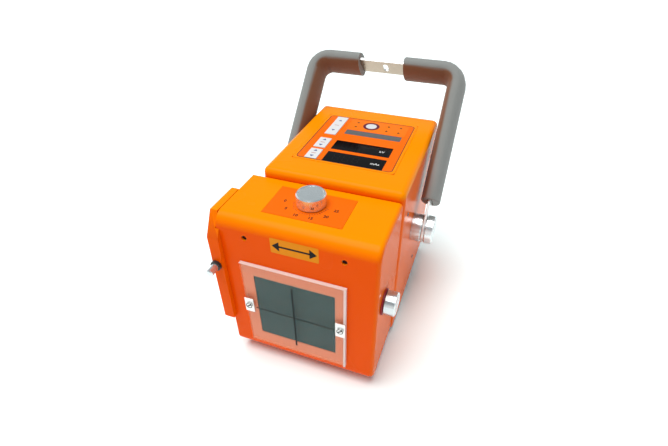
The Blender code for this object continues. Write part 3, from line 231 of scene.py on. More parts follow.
def soften(piece, width, segments=2, angle=smooth_angle):
    """Rounds a piece's sharp edges over with a bevel and shades it smooth between them."""
    bpy.context.view_layer.objects.active = piece
    if width:
        bevel = piece.modifiers.new("edge", "BEVEL")
        bevel.width = width
        bevel.segments = segments
        bevel.limit_method = "ANGLE"
        bevel.angle_limit = angle
        bpy.ops.object.modifier_apply(modifier="edge")
    bpy.ops.object.shade_smooth_by_angle(angle=angle, keep_sharp_edges=False)
    weighted = piece.modifiers.new("shading", "WEIGHTED_NORMAL")
    weighted.keep_sharp = True
    bpy.ops.object.modifier_apply(modifier="shading")


def settle(piece, name, body, finish):
    """Names a finished piece, gives it its finish and makes it ride on its body."""
    piece.name = name
    piece.data.name = name
    piece.data.materials.clear()
    piece.data.materials.append(finish)
    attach(piece, body)


def merged_copy(node):
    """A copy of a CAD node with its loose triangles merged and its flat faces joined."""
    piece = bpy.data.objects.new(node + "_finished", frame["nodes"][node].data.copy())
    bpy.context.scene.collection.objects.link(piece)
    start_editing(piece, "VERT")
    bpy.ops.mesh.customdata_custom_splitnormals_clear()
    bpy.ops.mesh.select_all(action="SELECT")
    bpy.ops.mesh.remove_doubles(threshold=merge_distance)
    bpy.ops.mesh.dissolve_limited(angle_limit=flat_angle)
    bpy.ops.object.mode_set(mode="OBJECT")
    return piece


def refined(node, finish, width=0.0):
    """Stands a smooth-shaded copy in for a CAD node, with its sharp edges eased where a width is given."""
    piece = merged_copy(node)
    soften(piece, width)
    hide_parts(node)
    settle(piece, node + "_finished", node_bodies[node], finish)
    return piece


def make_finish(name, uniform, surface=None):
    """A material with one value for some sockets, and a surface function for those that vary over it."""
    material = bpy.data.materials.new(name)
    material.use_nodes = True
    shader = material.node_tree.nodes["Principled BSDF"]
    for socket, value in uniform.items():
        shader.inputs[socket].default_value = value
    if surface:
        wire = Wire(material.node_tree)
        place = wire.node("ShaderNodeTexCoord", {}, {}, "Object")
        for socket, value in surface(place).items():
            material.node_tree.links.new(value.socket, shader.inputs[socket])
    return material


def noise(place, scale):
    return place.node("ShaderNodeTexNoise", {}, {"Vector": place, "Scale": scale})


def bump(height, strength, distance):
    values = {"Strength": strength, "Distance": distance, "Height": height}
    return height.node("ShaderNodeBump", {}, values)


paint_deep = (0.95, 0.100, 0.0)
# The lighter amber of lit top faces, a painted light rather than a second paint.
paint_top_lit = (1.0, 0.285, 0.0)
head_low, head_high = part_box("head_shell")
edge_light_depth = 6 * MM
side_light_share = 0.28
least_painted_light = 0.92
uneven_painted_light = 0.16


def paint_surface(place):
    cloud = noise(place, scale=18)
    peel = noise(place, scale=620)
    # Painted light: the amber share grows on up-facing faces, on the body's edge above the head and, a
    # little, on right-facing faces.
    facing = place.node("ShaderNodeTexCoord", {}, {}, "Normal")
    above_head = place.along("Z") - head_high.z
    painted_light = facing.along("Z").larger(facing.along("X") * side_light_share)
    painted_light = painted_light.larger(above_head * (1 / edge_light_depth)).larger(0.0)
    painted_light = painted_light * (least_painted_light + cloud * uneven_painted_light)
    return {
        "Base Color": painted_light.mix(paint_deep, paint_top_lit),
        "Roughness": 0.2 + cloud * 0.12,
        "Normal": bump(peel, strength=0.09, distance=0.4 * MM),
    }


orange_paint = make_finish("orange_paint", {"IOR": 1.13}, paint_surface)
for shell in ("body_cover", "head_shell", "lamp_cover"):
    refined(shell, orange_paint)

# Base tray, tank and brackets: folded and machined aluminium with a fine brushed grain along their length.
# Only the tray's underside and the hand switch socket show, the rest sits inside the housing.
aluminium_colour = (0.70, 0.71, 0.72)


def brushed(place, stretch, roughness, strength):
    """A fine grain drawn out along one axis, in the gloss and in the relief."""
    stretched = place.node("ShaderNodeMapping", {}, {"Vector": place, "Scale": stretch})
    grain = noise(stretched, scale=1.0)
    return {"Roughness": roughness + grain * 0.2, "Normal": bump(grain, strength, distance=0.1 * MM)}


def aluminium_surface(place):
    return brushed(place, stretch=(900, 25, 900), roughness=0.3, strength=0.08)


def coat(nodes, finish):
    """Gives a finish to CAD nodes that keep their own meshes."""
    for node in nodes:
        frame["nodes"][node].data.materials[0] = finish


satin_aluminium = make_finish(
    "satin_aluminium", {"Base Color": (*aluminium_colour, 1), "Metallic": 1.0}, aluminium_surface
)
refined("base_tray", satin_aluminium, width=0.3 * MM)
refined("handswitch_socket", satin_aluminium, width=0.3 * MM)
coat(("tube_tank", "head_back_plate", "mirror_bracket", "lamp_module"), satin_aluminium)
coat(("top_rack_guide", "side_rack_guide"), satin_aluminium)

# Feet: four turned rubber buttons screwed to the tray from inside.
# The rubber is matt black with a fine moulded grain and a little dust.
rubber_colour = (0.012, 0.012, 0.012)
dust_colour = (0.05, 0.048, 0.045)


def rubber_surface(place):
    grain = noise(place, scale=1400)
    dust = noise(place, scale=60)
    return {
        "Base Color": dust.mix(rubber_colour, dust_colour),
        "Normal": bump(grain, strength=0.3, distance=0.2 * MM),
    }


black_rubber = make_finish("black_rubber", {"Roughness": 0.75}, rubber_surface)
for foot in ("foot_front_left", "foot_front_right", "foot_rear_left", "foot_rear_right"):
    refined(foot, black_rubber, width=0.4 * MM)

# Rear panel: a moulded black plate with the mains inlet, the power switch and the hand switch socket.
# The plastic has a fine spark-eroded texture, and the capacitors inside have sleeves of the same black.
plastic_colour = (0.018, 0.018, 0.019)


def plastic_surface(place):
    grain = noise(place, scale=1900)
    return {"Roughness": 0.38 + grain * 0.2, "Normal": bump(grain, strength=0.25, distance=0.1 * MM)}


black_plastic = make_finish("black_plastic", {"Base Color": (*plastic_colour, 1)}, plastic_surface)
refined("rear_panel", black_plastic, width=0.3 * MM)
for fitting in ("power_inlet", "switch_frame"):
    refined(fitting, black_plastic, width=0.25 * MM)
rocker = refined("power_rocker", black_plastic, width=0.25 * MM)
coat(("capacitor_left", "capacitor_right"), black_plastic)

# Screws: dark steel pan heads with a hexagon socket, on the housing's sides and the rear panel.
# One head is turned and socketed, then copied to each place and sunk slightly into its hole.
screw_colour = (0.16, 0.15, 0.15)
screw_radius = 2.4 * MM
screw_rise = 0.9 * MM
screw_sunk = 0.4 * MM
crown_bevel = 0.63 * MM
socket_radius = 1.2 * MM
socket_middle = 0.765 * MM


def mottled(scale, roughness, spread):
    """A surface function for a finish that varies in its gloss alone."""
    def surface(place):
        return {"Roughness": roughness + noise(place, scale) * spread}

    return surface


worn_steel = mottled(scale=400, roughness=0.25, spread=0.2)
dark_screw = make_finish("dark_screw", {"Base Color": (*screw_colour, 1), "Metallic": 1.0}, worn_steel)


def pan_head():
    """A pan head at the origin with its socket open towards +Z."""
    bpy.ops.object.select_all(action="DESELECT")
    bpy.ops.mesh.primitive_cylinder_add(
        vertices=28, radius=screw_radius, depth=screw_rise + screw_sunk,
        location=(0, 0, (screw_rise - screw_sunk) / 2),
    )
    head = bpy.context.object
    bpy.ops.object.transform_apply()
    start_editing(head, "EDGE")
    mesh = bmesh.from_edit_mesh(head.data)
    for edge in mesh.edges:
        edge.select = all(vertex.co.z > 0 for vertex in edge.verts)
    bmesh.update_edit_mesh(head.data)
    bpy.ops.mesh.bevel(offset=crown_bevel, segments=4, affect="EDGES")
    bpy.ops.object.mode_set(mode="OBJECT")
    bpy.ops.mesh.primitive_cylinder_add(
        vertices=6, radius=socket_radius, depth=screw_rise, location=(0, 0, socket_middle)
    )
    driver = bpy.context.object
    recess = head.modifiers.new("socket", "BOOLEAN")
    recess.object = driver
    recess.solver = "EXACT"
    bpy.context.view_layer.objects.active = head
    bpy.ops.object.modifier_apply(modifier="socket")
    bpy.data.objects.remove(driver)
    return head


def spun(name, section_low, section_high, corner, place, turn, body, finish):
    """A ring turned about its own Z axis from a rectangle of radius and height with eased corners."""
    bpy.ops.object.select_all(action="DESELECT")
    bpy.ops.mesh.primitive_plane_add(size=1)
    piece = bpy.context.object
    size = (section_high[0] - section_low[0], section_high[1] - section_low[1])
    middle = ((section_high[0] + section_low[0]) / 2, (section_high[1] + section_low[1]) / 2)
    piece.data.transform(
        Matrix.Translation((middle[0], 0, middle[1]))
        @ Matrix.Rotation(math.radians(90), 4, "X")
        @ Matrix.Diagonal((*size, 1, 1))
    )
    start_editing(piece, "VERT")
    bpy.ops.mesh.select_all(action="SELECT")
    bpy.ops.mesh.bevel(offset=corner, segments=2, affect="VERTICES")
    bpy.ops.mesh.select_all(action="SELECT")
    bpy.ops.mesh.delete(type="ONLY_FACE")
    bpy.ops.mesh.select_all(action="SELECT")
    bpy.ops.mesh.spin(steps=36, angle=math.tau, center=(0, 0, 0), axis=(0, 0, 1))
    bpy.ops.mesh.select_all(action="SELECT")
    bpy.ops.mesh.remove_doubles(threshold=merge_distance)
    bpy.ops.mesh.normals_make_consistent(inside=False)
    bpy.ops.object.mode_set(mode="OBJECT")
    piece.data.transform(Matrix.Translation(place) @ turn.to_4x4())
    soften(piece, 0)
    settle(piece, name, body, finish)


def place_copy(pattern, name, place, turn, body, finish):
    """Copies a pattern's mesh, turns and places the copy and settles it."""
    piece = bpy.data.objects.new(name, pattern.data.copy())
    bpy.context.scene.collection.objects.link(piece)
    piece.data.transform(Matrix.Translation(place) @ turn.to_4x4())
    bpy.ops.object.select_all(action="DESELECT")
    piece.select_set(True)
    soften(piece, 0)
    settle(piece, name, body, finish)


head_pattern = pan_head()
body_low, body_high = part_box("body_cover")
panel_low, panel_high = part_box("rear_panel")
side_spots = {
    "front": (-41.0 * MM, 185.0 * MM),
    "middle": (41.0 * MM, 53.1 * MM),
    "back": (104.0 * MM, 185.0 * MM),
}
for spot, (back, high) in side_spots.items():
    for side, x, angle in (("right", body_high.x, 90), ("left", body_low.x, -90)):
        turn = Matrix.Rotation(math.radians(angle), 3, "Y")
        place = Vector((x, back, high))
        name = f"side_screw_{spot}_{side}"
        place_copy(head_pattern, name, place, turn, "housing", dark_screw)
panel_inset = 9 * MM
facing_back = Matrix.Rotation(math.radians(-90), 3, "X")
for row, z in (("low", panel_low.z + panel_inset), ("high", panel_high.z - panel_inset)):
    for column, x in (("left", panel_low.x + panel_inset), ("right", panel_high.x - panel_inset)):
        place = Vector((x, panel_high.y, z))
        name = f"panel_screw_{row}_{column}"
        place_copy(head_pattern, name, place, facing_back, "housing", dark_screw)
bpy.data.objects.remove(head_pattern)

# Control panel: a printed film on the cover's top with two display windows and three snap keys.
# The film has a thin dark line round it, an amber field with an exposure lamp and a grey stripe.
# Prints here and on the other panels are ink films a tenth of a millimetre thick.
ink_height = 0.1 * MM
ink_sunk = 0.05 * MM
ink_wear = 0.9
ink_dust = 0.004
facing_up = Matrix.Identity(3)
facing_front = Matrix.Rotation(math.radians(90), 3, "X")
# A corner radius of this share of the width makes a patch round.
round_share = 0.49


def make_ink(name, colour, roughness=0.45):
    def ink_surface(place):
        speckle = noise(place, scale=900)
        worn = tuple(ink_wear * part + ink_dust for part in colour)
        return {"Base Color": speckle.mix(colour, worn)}

    return make_finish(name, {"Roughness": roughness, "IOR": 1.2}, ink_surface)


def film(width, length, corner):
    """A flat film at the origin with rounded corners, lying in the XY plane and left in edit mode."""
    bpy.ops.object.select_all(action="DESELECT")
    bpy.ops.mesh.primitive_plane_add(size=1)
    piece = bpy.context.object
    piece.scale = (width, length, 1)
    bpy.ops.object.transform_apply(scale=True)
    start_editing(piece, "VERT")
    bpy.ops.mesh.select_all(action="SELECT")
    if corner:
        bpy.ops.mesh.bevel(offset=corner, segments=5, affect="VERTICES")
        bpy.ops.mesh.select_all(action="SELECT")
    return piece


def lay(piece, place, turn):
    """Gives a flat film its thickness and lays it on a panel, a little sunk into it."""
    start_editing(piece, "FACE")
    bpy.ops.mesh.select_all(action="SELECT")
    bpy.ops.mesh.extrude_region_move(TRANSFORM_OT_translate={"value": (0, 0, ink_height + ink_sunk)})
    bpy.ops.mesh.select_all(action="SELECT")
    bpy.ops.mesh.normals_make_consistent(inside=False)
    bpy.ops.object.mode_set(mode="OBJECT")
    piece.data.transform(Matrix.Translation(place) @ turn.to_4x4() @ Matrix.Translation((0, 0, -ink_sunk)))
    return piece


def patch(width, length, corner, place, turn=facing_up):
    """A printed patch with rounded corners."""
    piece = film(width, length, corner)
    bpy.ops.object.mode_set(mode="OBJECT")
    return lay(piece, place, turn)


def outline(width, length, corner, stroke, place, turn=facing_up):
    """A printed line round a rectangle with rounded corners."""
    piece = film(width, length, corner)
    bpy.ops.mesh.inset(thickness=stroke)
    bpy.ops.mesh.delete(type="FACE")
    bpy.ops.object.mode_set(mode="OBJECT")
    return lay(piece, place, turn)


def print_on(name, prints, body, finish):
    """Joins prints of one colour into a piece and settles it."""
    bpy.ops.object.select_all(action="DESELECT")
    for piece in prints:
        piece.select_set(True)
    bpy.context.view_layer.objects.active = prints[0]
    bpy.ops.object.join()
    settle(prints[0], name, body, finish)


film_colour = (0.98, 0.152, 0.002)
film_worn = (0.94, 0.144, 0.002)
overlay_low, overlay_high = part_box("control_overlay")
overlay_centre = (overlay_low + overlay_high) / 2
overlay_centre.z = overlay_high.z
line_inset = 3.2 * MM
line_corner = 5 * MM
line_stroke = 0.9 * MM
line_half = (overlay_high - overlay_low) / 2 - Vector((line_inset, line_inset, 0))


def film_surface(place):
    grain = noise(place, scale=2200)
    cloud = noise(place, scale=25)
    return {
        "Base Color": cloud.mix(film_colour, film_worn),
        "Roughness": 0.36 + grain * 0.12,
        "Normal": bump(grain, strength=0.05, distance=0.1 * MM),
    }


def overlay_surface(place):
    """The film's surface, and outside its printed line the cover's lit top colour, a painted light."""
    past_x = (abs(place.along("X") - overlay_centre.x) - (line_half.x - line_corner)).larger(0.0)
    past_y = (abs(place.along("Y") - overlay_centre.y) - (line_half.y - line_corner)).larger(0.0)
    margin = (past_x * past_x + past_y * past_y) > line_corner * line_corner
    return {**film_surface(place), "Base Color": margin.mix(film_colour, paint_top_lit)}


orange_film = make_finish("orange_film", {"IOR": 1.16}, film_surface)
overlay_film = make_finish("overlay_film", {"IOR": 1.16}, overlay_surface)
line_ink = make_ink("line_ink", (0.06, 0.018, 0.03))
amber_ink = make_ink("amber_ink", (0.95, 0.20, 0.002))
grey_ink = make_ink("grey_ink", (0.12, 0.13, 0.135))
black_ink = make_ink("black_ink", (0.006, 0.006, 0.006))
white_ink = make_ink("white_ink", (0.72, 0.73, 0.74))
plum_ink = make_ink("plum_ink", (0.13, 0.010, 0.035))
refined("control_overlay", overlay_film)
panel_line = outline(2 * line_half.x, 2 * line_half.y, line_corner, line_stroke, overlay_centre)
print_on("panel_line", [panel_line], "housing", line_ink)

field_width = 79 * MM
field_length = 31 * MM
field_corner = 2 * MM
field_place = Vector((12.5 * MM, 78.5 * MM, overlay_high.z))
amber_field = patch(field_width, field_length, field_corner, field_place)
print_on("panel_amber", [amber_field], "housing", amber_ink)
stripe_width = 74 * MM
stripe_length = 13.1 * MM
stripe_corner = 0.6 * MM
stripe_place = Vector((12.9 * MM, 54 * MM, overlay_high.z))
stripe = patch(stripe_width, stripe_length, stripe_corner, stripe_place)
print_on("panel_stripe", [stripe], "housing", grey_ink)

on_field = overlay_high.z + ink_height
lamp_place = Vector((3.7 * MM, 79 * MM, on_field))
lamp_size = 22 * MM
rim_width = 3.6 * MM
lens_size = 15 * MM
lamp_rim = outline(lamp_size, lamp_size, lamp_size * round_share, rim_width, lamp_place)
print_on("exposure_lamp_rim", [lamp_rim], "housing", plum_ink)
lamp_lens = patch(lens_size, lens_size, lens_size * round_share, lamp_place)
print_on("exposure_lamp_lens", [lamp_lens], "housing", white_ink)
dot_size = 2.8 * MM
dot_spots = ((-16, 85), (-16, 72), (26.3, 85), (42.5, 86), (26.3, 71.5), (42.5, 71))
dots = []
for x, y in dot_spots:
    place = Vector((x * MM, y * MM, on_field))
    dots.append(patch(dot_size, dot_size, dot_size * round_share, place))
print_on("indicator_dots", dots, "housing", black_ink)

# Displays: smoked windows over seven-segment figures, which are dark while the unit is off.
# Each has its unit printed in small white letters at the right end.
capital_share = 0.7
heavier_share = 0.035


def lettering(words, height, place, turn=facing_up):
    """Printed figures or letters of a given capital height, a little heavy, centred on their place."""
    bpy.ops.object.select_all(action="DESELECT")
    bpy.ops.object.text_add()
    text = bpy.context.object.data
    text.body = words
    text.size = height / capital_share
    text.offset = height * heavier_share
    text.align_x = "CENTER"
    text.align_y = "CENTER"
    text.resolution_u = 4
    bpy.ops.object.convert(target="MESH")
    return lay(bpy.context.object, place, turn)


glass_colour = (0.003, 0.003, 0.004)
segment_colour = (0.010, 0.009, 0.010)
smeared_glass = mottled(scale=30, roughness=0.06, spread=0.08)
display_glass = make_finish("display_glass", {"Base Color": (*glass_colour, 1), "IOR": 1.15}, smeared_glass)
dark_segment = make_finish("dark_segment", {"Base Color": (*segment_colour, 1), "IOR": 1.15}, smeared_glass)
unit_height = 4.2 * MM
unit_inset = Vector((11 * MM, 1 * MM, 0))
segment_long = 5.6 * MM
segment_wide = 1.1 * MM
segment_corner = 0.4 * MM
segment_step = segment_long + segment_wide
figures_shown = 3
first_figure = 14 * MM
figure_pitch = 12 * MM
for display, unit in (("display_lower", "mAs"), ("display_upper", "kV")):
    refined(display, display_glass, width=0.2 * MM)
    glass_low, glass_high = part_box(display)
    glass_middle = (glass_low + glass_high) / 2
    unit_place = Vector((glass_high.x, glass_middle.y, glass_high.z)) - unit_inset
    letters = lettering(unit, unit_height, unit_place)
    print_on(display + "_unit", [letters], "housing", white_ink)
    segments = []
    for figure in range(figures_shown):
        x = glass_low.x + first_figure + figure * figure_pitch
        for row in (-1, 0, 1):
            place = Vector((x, glass_middle.y + row * segment_step, glass_high.z))
            segments.append(patch(segment_long, segment_wide, segment_corner, place))
        for column in (-1, 1):
            for row in (-1, 1):
                shift = Vector((column, row, 0)) * segment_step / 2
                place = Vector((x, glass_middle.y, glass_high.z)) + shift
                segments.append(patch(segment_wide, segment_long, segment_corner, place))
    print_on(display + "_segments", segments, "housing", dark_segment)

# Keys: white snap domes under film, with small printed arrows that point back and front and a bar between.
# They stand slightly proud of the panel and go down half a millimetre. The circuit boards are below them.
key_white = (0.78, 0.78, 0.78)
key_grey = (0.72, 0.73, 0.75)
laminate_colour = (0.012, 0.11, 0.04)


def key_surface(place):
    grain = noise(place, scale=2000)
    cloud = noise(place, scale=90)
    return {
        "Base Color": cloud.mix(key_white, key_grey),
        "Roughness": 0.4 + grain * 0.1,
        "Normal": bump(grain, strength=0.05, distance=0.1 * MM),
    }


def arrow_head(length, width, place, turn):
    """A printed triangle that points along +X before it is turned."""
    even_length = 1.5
    even_width = math.sqrt(3)
    bpy.ops.object.select_all(action="DESELECT")
    bpy.ops.mesh.primitive_circle_add(
        vertices=3, radius=1, fill_type="NGON", rotation=(0, 0, math.radians(-90))
    )
    bpy.ops.object.transform_apply()
    piece = bpy.context.object
    piece.data.transform(Matrix.Diagonal((length / even_length, width / even_width, 1, 1)))
    return lay(piece, place, turn)


white_key = make_finish("white_key", {}, key_surface)
blue_ink = make_ink("blue_ink", (0.10, 0.13, 0.30))
red_ink = make_ink("red_ink", (0.45, 0.06, 0.04))
pointing_back = Matrix.Rotation(math.radians(90), 3, "Z")
pointing_front = Matrix.Rotation(math.radians(-90), 3, "Z")
sign_length = 4 * MM
sign_width = 5 * MM
sign_share = 0.27
bar_width = 6 * MM
bar_length = 0.8 * MM
bar_corner = 0.3 * MM
for key in ("key_low", "key_middle", "key_tall"):
    refined(key, white_key, width=0.35 * MM)
    key_low, key_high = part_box(key)
    centre = Vector(((key_low.x + key_high.x) / 2, (key_low.y + key_high.y) / 2, key_high.z))
    reach = Vector((0, (key_high.y - key_low.y) * sign_share, 0))
    arrows = [
        arrow_head(sign_length, sign_width, centre + reach, pointing_back),
        arrow_head(sign_length, sign_width, centre - reach, pointing_front),
    ]
    print_on(key + "_arrows", arrows, key, blue_ink)
    bar = patch(bar_width, bar_length, bar_corner, centre)
    print_on(key + "_bar", [bar], key, red_ink)
for board in ("control_board", "inverter_board"):
    coat([board], make_ink(board + "_laminate", laminate_colour, roughness=0.5))

# Switch marks: a bar for on and a ring for off, printed in white ink on the power rocker's two slopes.
# Each mark is laid where a line from behind meets the rocker, and lies flat on the slope there.
bpy.context.view_layer.update()
rocker_low, rocker_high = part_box("power_rocker")
rocker_middle = (rocker_low + rocker_high) / 2
well_behind = 100 * MM


def on_rocker(x, z):
    """Where a line from behind meets the rocker, with the turn that lays a print there."""
    start = Vector((x, body_high.y + well_behind, z))
    place, normal = rocker.ray_cast(start, Vector((0, -1, 0)))[1:3]
    return place, normal.to_track_quat("Z", "Y").to_matrix()


mark_share = 0.27
mark_reach = (rocker_high.z - rocker_low.z) * mark_share
mark_size = 4.6 * MM
mark_stroke = 0.9 * MM
upper_place, upper_turn = on_rocker(rocker_middle.x, rocker_middle.z + mark_reach)
lower_place, lower_turn = on_rocker(rocker_middle.x, rocker_middle.z - mark_reach)
switch_marks = [
    patch(mark_stroke, mark_size, 0, upper_place, upper_turn),
    outline(mark_size, mark_size, mark_size * round_share, mark_stroke, lower_place, lower_turn),
]
print_on("rocker_marks", switch_marks, "power_rocker", white_ink)

# Window: a clear acrylic plate with polished edges in front of the smoked pane, with ink cross lines.
# Round the opening the plate is lightly frosted, and along its top and right cut edges a white highlight is
# painted.
frost_colour = (1.0, 0.80, 0.54)
edge_highlight_colour = (0.88, 0.83, 0.80)
plate_low, plate_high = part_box("window_plate")
pane_low, pane_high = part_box("beam_pane")
beam_middle = (pane_low + pane_high) / 2
window_half = (pane_high - pane_low) / 2
edge_band = 2.6 * MM
top_band = 0.7 * MM
clear_cover = 0.04
frost_cover = 0.27
haze_cover = 0.03
edge_highlight_cover = 0.75


def plate_surface(place):
    outside_x = abs(place.along("X") - beam_middle.x) > window_half.x
    outside_z = abs(place.along("Z") - beam_middle.z) > window_half.z
    in_back_half = place.along("Y") > (plate_low.y + plate_high.y) / 2
    frosted = outside_x.larger(outside_z) * in_back_half
    right_gap = plate_high.x - place.along("X")
    top_gap = plate_high.z - place.along("Z")
    # Painted highlight: a white band along the right and top cut edges, where the edges catch the light.
    painted_edge_highlight = (right_gap < edge_band).larger(top_gap < top_band)
    haze = noise(place, scale=60)
    cover = clear_cover + frosted * (frost_cover + haze * haze_cover)
    return {
        "Base Color": painted_edge_highlight.mix(frost_colour, edge_highlight_colour),
        "Alpha": cover.larger(painted_edge_highlight * edge_highlight_cover),
        "Roughness": 0.08 + frosted * 0.2,
    }


clear_acrylic = make_finish("clear_acrylic", {}, plate_surface)
refined("window_plate", clear_acrylic, width=0.25 * MM)
pane_colour = (0.002, 0.068, 0.084)
pane_darker = (0.002, 0.060, 0.076)


def pane_surface(place):
    cloud = noise(place, scale=35)
    grain = noise(place, scale=1500)
    return {
        "Base Color": cloud.mix(pane_colour, pane_darker),
        "Roughness": 0.3 + grain * 0.1,
    }


coat(["beam_pane"], make_finish("smoked_sheet", {"Alpha": 0.93, "IOR": 1.2}, pane_surface))
upright_stroke = 2.2 * MM
level_stroke = 1.7 * MM
cross_tail = 2 * MM
upright_low = pane_low.z - cross_tail
upright_place = Vector((beam_middle.x, plate_low.y, (pane_high.z + upright_low) / 2))
level_place = Vector((beam_middle.x, plate_low.y, beam_middle.z))
cross_lines = [
    patch(upright_stroke, pane_high.z - upright_low, 0, upright_place, facing_front),
    patch(pane_high.x - pane_low.x, level_stroke, 0, level_place, facing_front),
]
cross_ink = make_ink("cross_ink", (0.002, 0.016, 0.019))
print_on("cross_lines", cross_lines, "housing", cross_ink)

# Window clips: two small steel plates, each held by one slotted screw, that grip the acrylic plate.
# They are bright rolled steel with faint scratches. Each screw is printed as a dark ring and slot: painted
# shade round its head and in its slot.
steel_colour = (0.78, 0.77, 0.75)
clip_screw = 7.5 * MM
rim_corner = clip_screw * 0.45
shade_width = clip_screw * 0.11
slot_length = clip_screw * 0.85
slot_width = clip_screw * 0.2
slot_corner = 0.2 * MM
slot_turn = facing_front @ Matrix.Rotation(math.radians(40), 3, "Z")


def steel_surface(place):
    return brushed(place, stretch=(60, 700, 700), roughness=0.22, strength=0.06)


bright_steel = make_finish("bright_steel", {"Base Color": (*steel_colour, 1), "Metallic": 1.0}, steel_surface)
for clip in ("clip_left", "clip_right"):
    refined(clip, bright_steel, width=0.25 * MM)
    clip_low, clip_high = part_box(clip)
    screw_place = (clip_low + clip_high) / 2
    screw_place.y = clip_low.y
    # Painted shade: a dark ring round each screw's head and a dark slot stand in for the screw.
    screw_shade = [
        outline(clip_screw, clip_screw, rim_corner, shade_width, screw_place, facing_front),
        patch(slot_length, slot_width, slot_corner, screw_place, slot_turn),
    ]
    print_on(clip + "_screw", screw_shade, "housing", black_ink)

# Arrow plate and laser apertures: an amber plate between the two apertures points at them.
# Each aperture is a countersunk hole with a brass laser module and its dark lens behind.
label_place = Vector((-6.95 * MM, head_low.y, 194.65 * MM))
label_width = 53.5 * MM
label_length = 19.3 * MM
label_corner = 1.2 * MM
label_amber = make_ink("label_amber", (0.92, 0.30, 0.0), roughness=0.35)
label = patch(label_width, label_length, label_corner, label_place, facing_front)
print_on("arrow_plate", [label], "housing", label_amber)
on_label = label_place - Vector((0, ink_height, 0))
arrow_reach = Vector((19.5 * MM, 0, 0))
arrow_length = 8 * MM
arrow_width = 12 * MM
arrow_shaft = 2.2 * MM
pointing_left = facing_front @ Matrix.Rotation(math.radians(180), 3, "Z")
double_arrow = [
    arrow_head(arrow_length, arrow_width, on_label - arrow_reach, pointing_left),
    arrow_head(arrow_length, arrow_width, on_label + arrow_reach, facing_front),
    patch(2 * arrow_reach.x - arrow_length / 2, arrow_shaft, 0, on_label, facing_front),
]
print_on("double_arrow", double_arrow, "housing", black_ink)

brass_colour = (0.70, 0.50, 0.20)
lens_colour = (0.03, 0.005, 0.002)
aperture_inner = (3.1 * MM, -0.6 * MM)
aperture_outer = (3.9 * MM, 0.15 * MM)
aperture_corner = 0.2 * MM
aperture_lens = 5.2 * MM
aperture_lens_corner = 2.5 * MM
worn_brass = mottled(scale=300, roughness=0.25, spread=0.2)
brass = make_finish("turned_brass", {"Base Color": (*brass_colour, 1), "Metallic": 1.0}, worn_brass)
coat(("laser_left", "laser_right", "top_bush", "side_bush"), brass)
lens_glass = make_finish("lens_glass", {"Base Color": (*lens_colour, 1), "IOR": 1.1}, smeared_glass)
for node in ("laser_left", "laser_right"):
    module_low, module_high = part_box(node)
    module_middle = (module_low + module_high) / 2
    rim_place = Vector((module_middle.x, head_low.y, module_middle.z))
    spun(
        node + "_rim", aperture_inner, aperture_outer, aperture_corner, rim_place, facing_front,
        "housing", orange_paint,
    )
    lens_place = Vector((module_middle.x, module_low.y, module_middle.z))
    lens = patch(aperture_lens, aperture_lens, aperture_lens_corner, lens_place, facing_front)
    print_on(node + "_lens", [lens], "housing", lens_glass)

# Dials: turned and polished steel knobs, dished on top, on shafts that drive the shutter blades.
# The top dial's plate has a printed scale, and the side dial sits in a dark red ring.
turned_grey = (0.64, 0.68, 0.69)
turned_bright = (0.82, 0.86, 0.87)


def make_turned(name, centre, axis):
    """Polished metal with the fine rings that turning leaves round one axis."""
    def turned_surface(place):
        centred = place.node("ShaderNodeVectorMath", {"operation": "SUBTRACT"}, {0: place, 1: centre})
        settings = {"wave_type": "RINGS", "rings_direction": axis}
        rings = place.node("ShaderNodeTexWave", settings, {"Vector": centred, "Scale": 300.0}, "Fac")
        cloud = noise(place, scale=120)
        return {
            "Base Color": rings.mix(turned_grey, turned_bright),
            "Roughness": 0.17 + cloud * 0.08,
            "Normal": bump(rings, strength=0.02, distance=0.05 * MM),
        }

    return make_finish(name, {"Metallic": 0.85}, turned_surface)


refined("dial_plate", orange_film)
for node, axis in (("top_dial", "Z"), ("side_dial", "X")):
    knob_low, knob_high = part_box(node)
    turned_steel = make_turned(node + "_steel", (knob_low + knob_high) / 2, axis)
    refined(node, turned_steel)
    coat([node + "_shaft"], turned_steel)

dial_low, dial_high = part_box("top_dial")
dial_middle = (dial_low + dial_high) / 2
scale_centre = Vector((dial_middle.x, dial_middle.y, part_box("dial_plate")[1].z))
scale_start = 187
scale_sweep = 166
scale_steps = 20
tick_inside = 18 * MM
tick_width = 0.45 * MM
long_tick = 2.6 * MM
short_tick = 1.5 * MM
steps_to_long_tick = 4
ticks = []
for step in range(scale_steps + 1):
    angle = math.radians(scale_start + scale_sweep * step / scale_steps)
    outward = Vector((math.cos(angle), math.sin(angle), 0))
    tick_length = short_tick if step % steps_to_long_tick else long_tick
    place = scale_centre + outward * (tick_inside + tick_length / 2)
    ticks.append(patch(tick_length, tick_width, 0, place, Matrix.Rotation(angle, 3, "Z")))
print_on("scale_ticks", ticks, "housing", line_ink)
figure_reach = Vector((29.5 * MM, 24.2 * MM, 0))
figure_height = 4 * MM
figure_steps = 5
figure_interval = 5
figures = []
for index in range(figure_steps + 1):
    angle = math.radians(scale_start + scale_sweep * index / figure_steps)
    outward = Vector((math.cos(angle), math.sin(angle), 0))
    figure = str(figure_interval * index)
    figures.append(lettering(figure, figure_height, scale_centre + outward * figure_reach))
print_on("scale_figures", figures, "housing", black_ink)

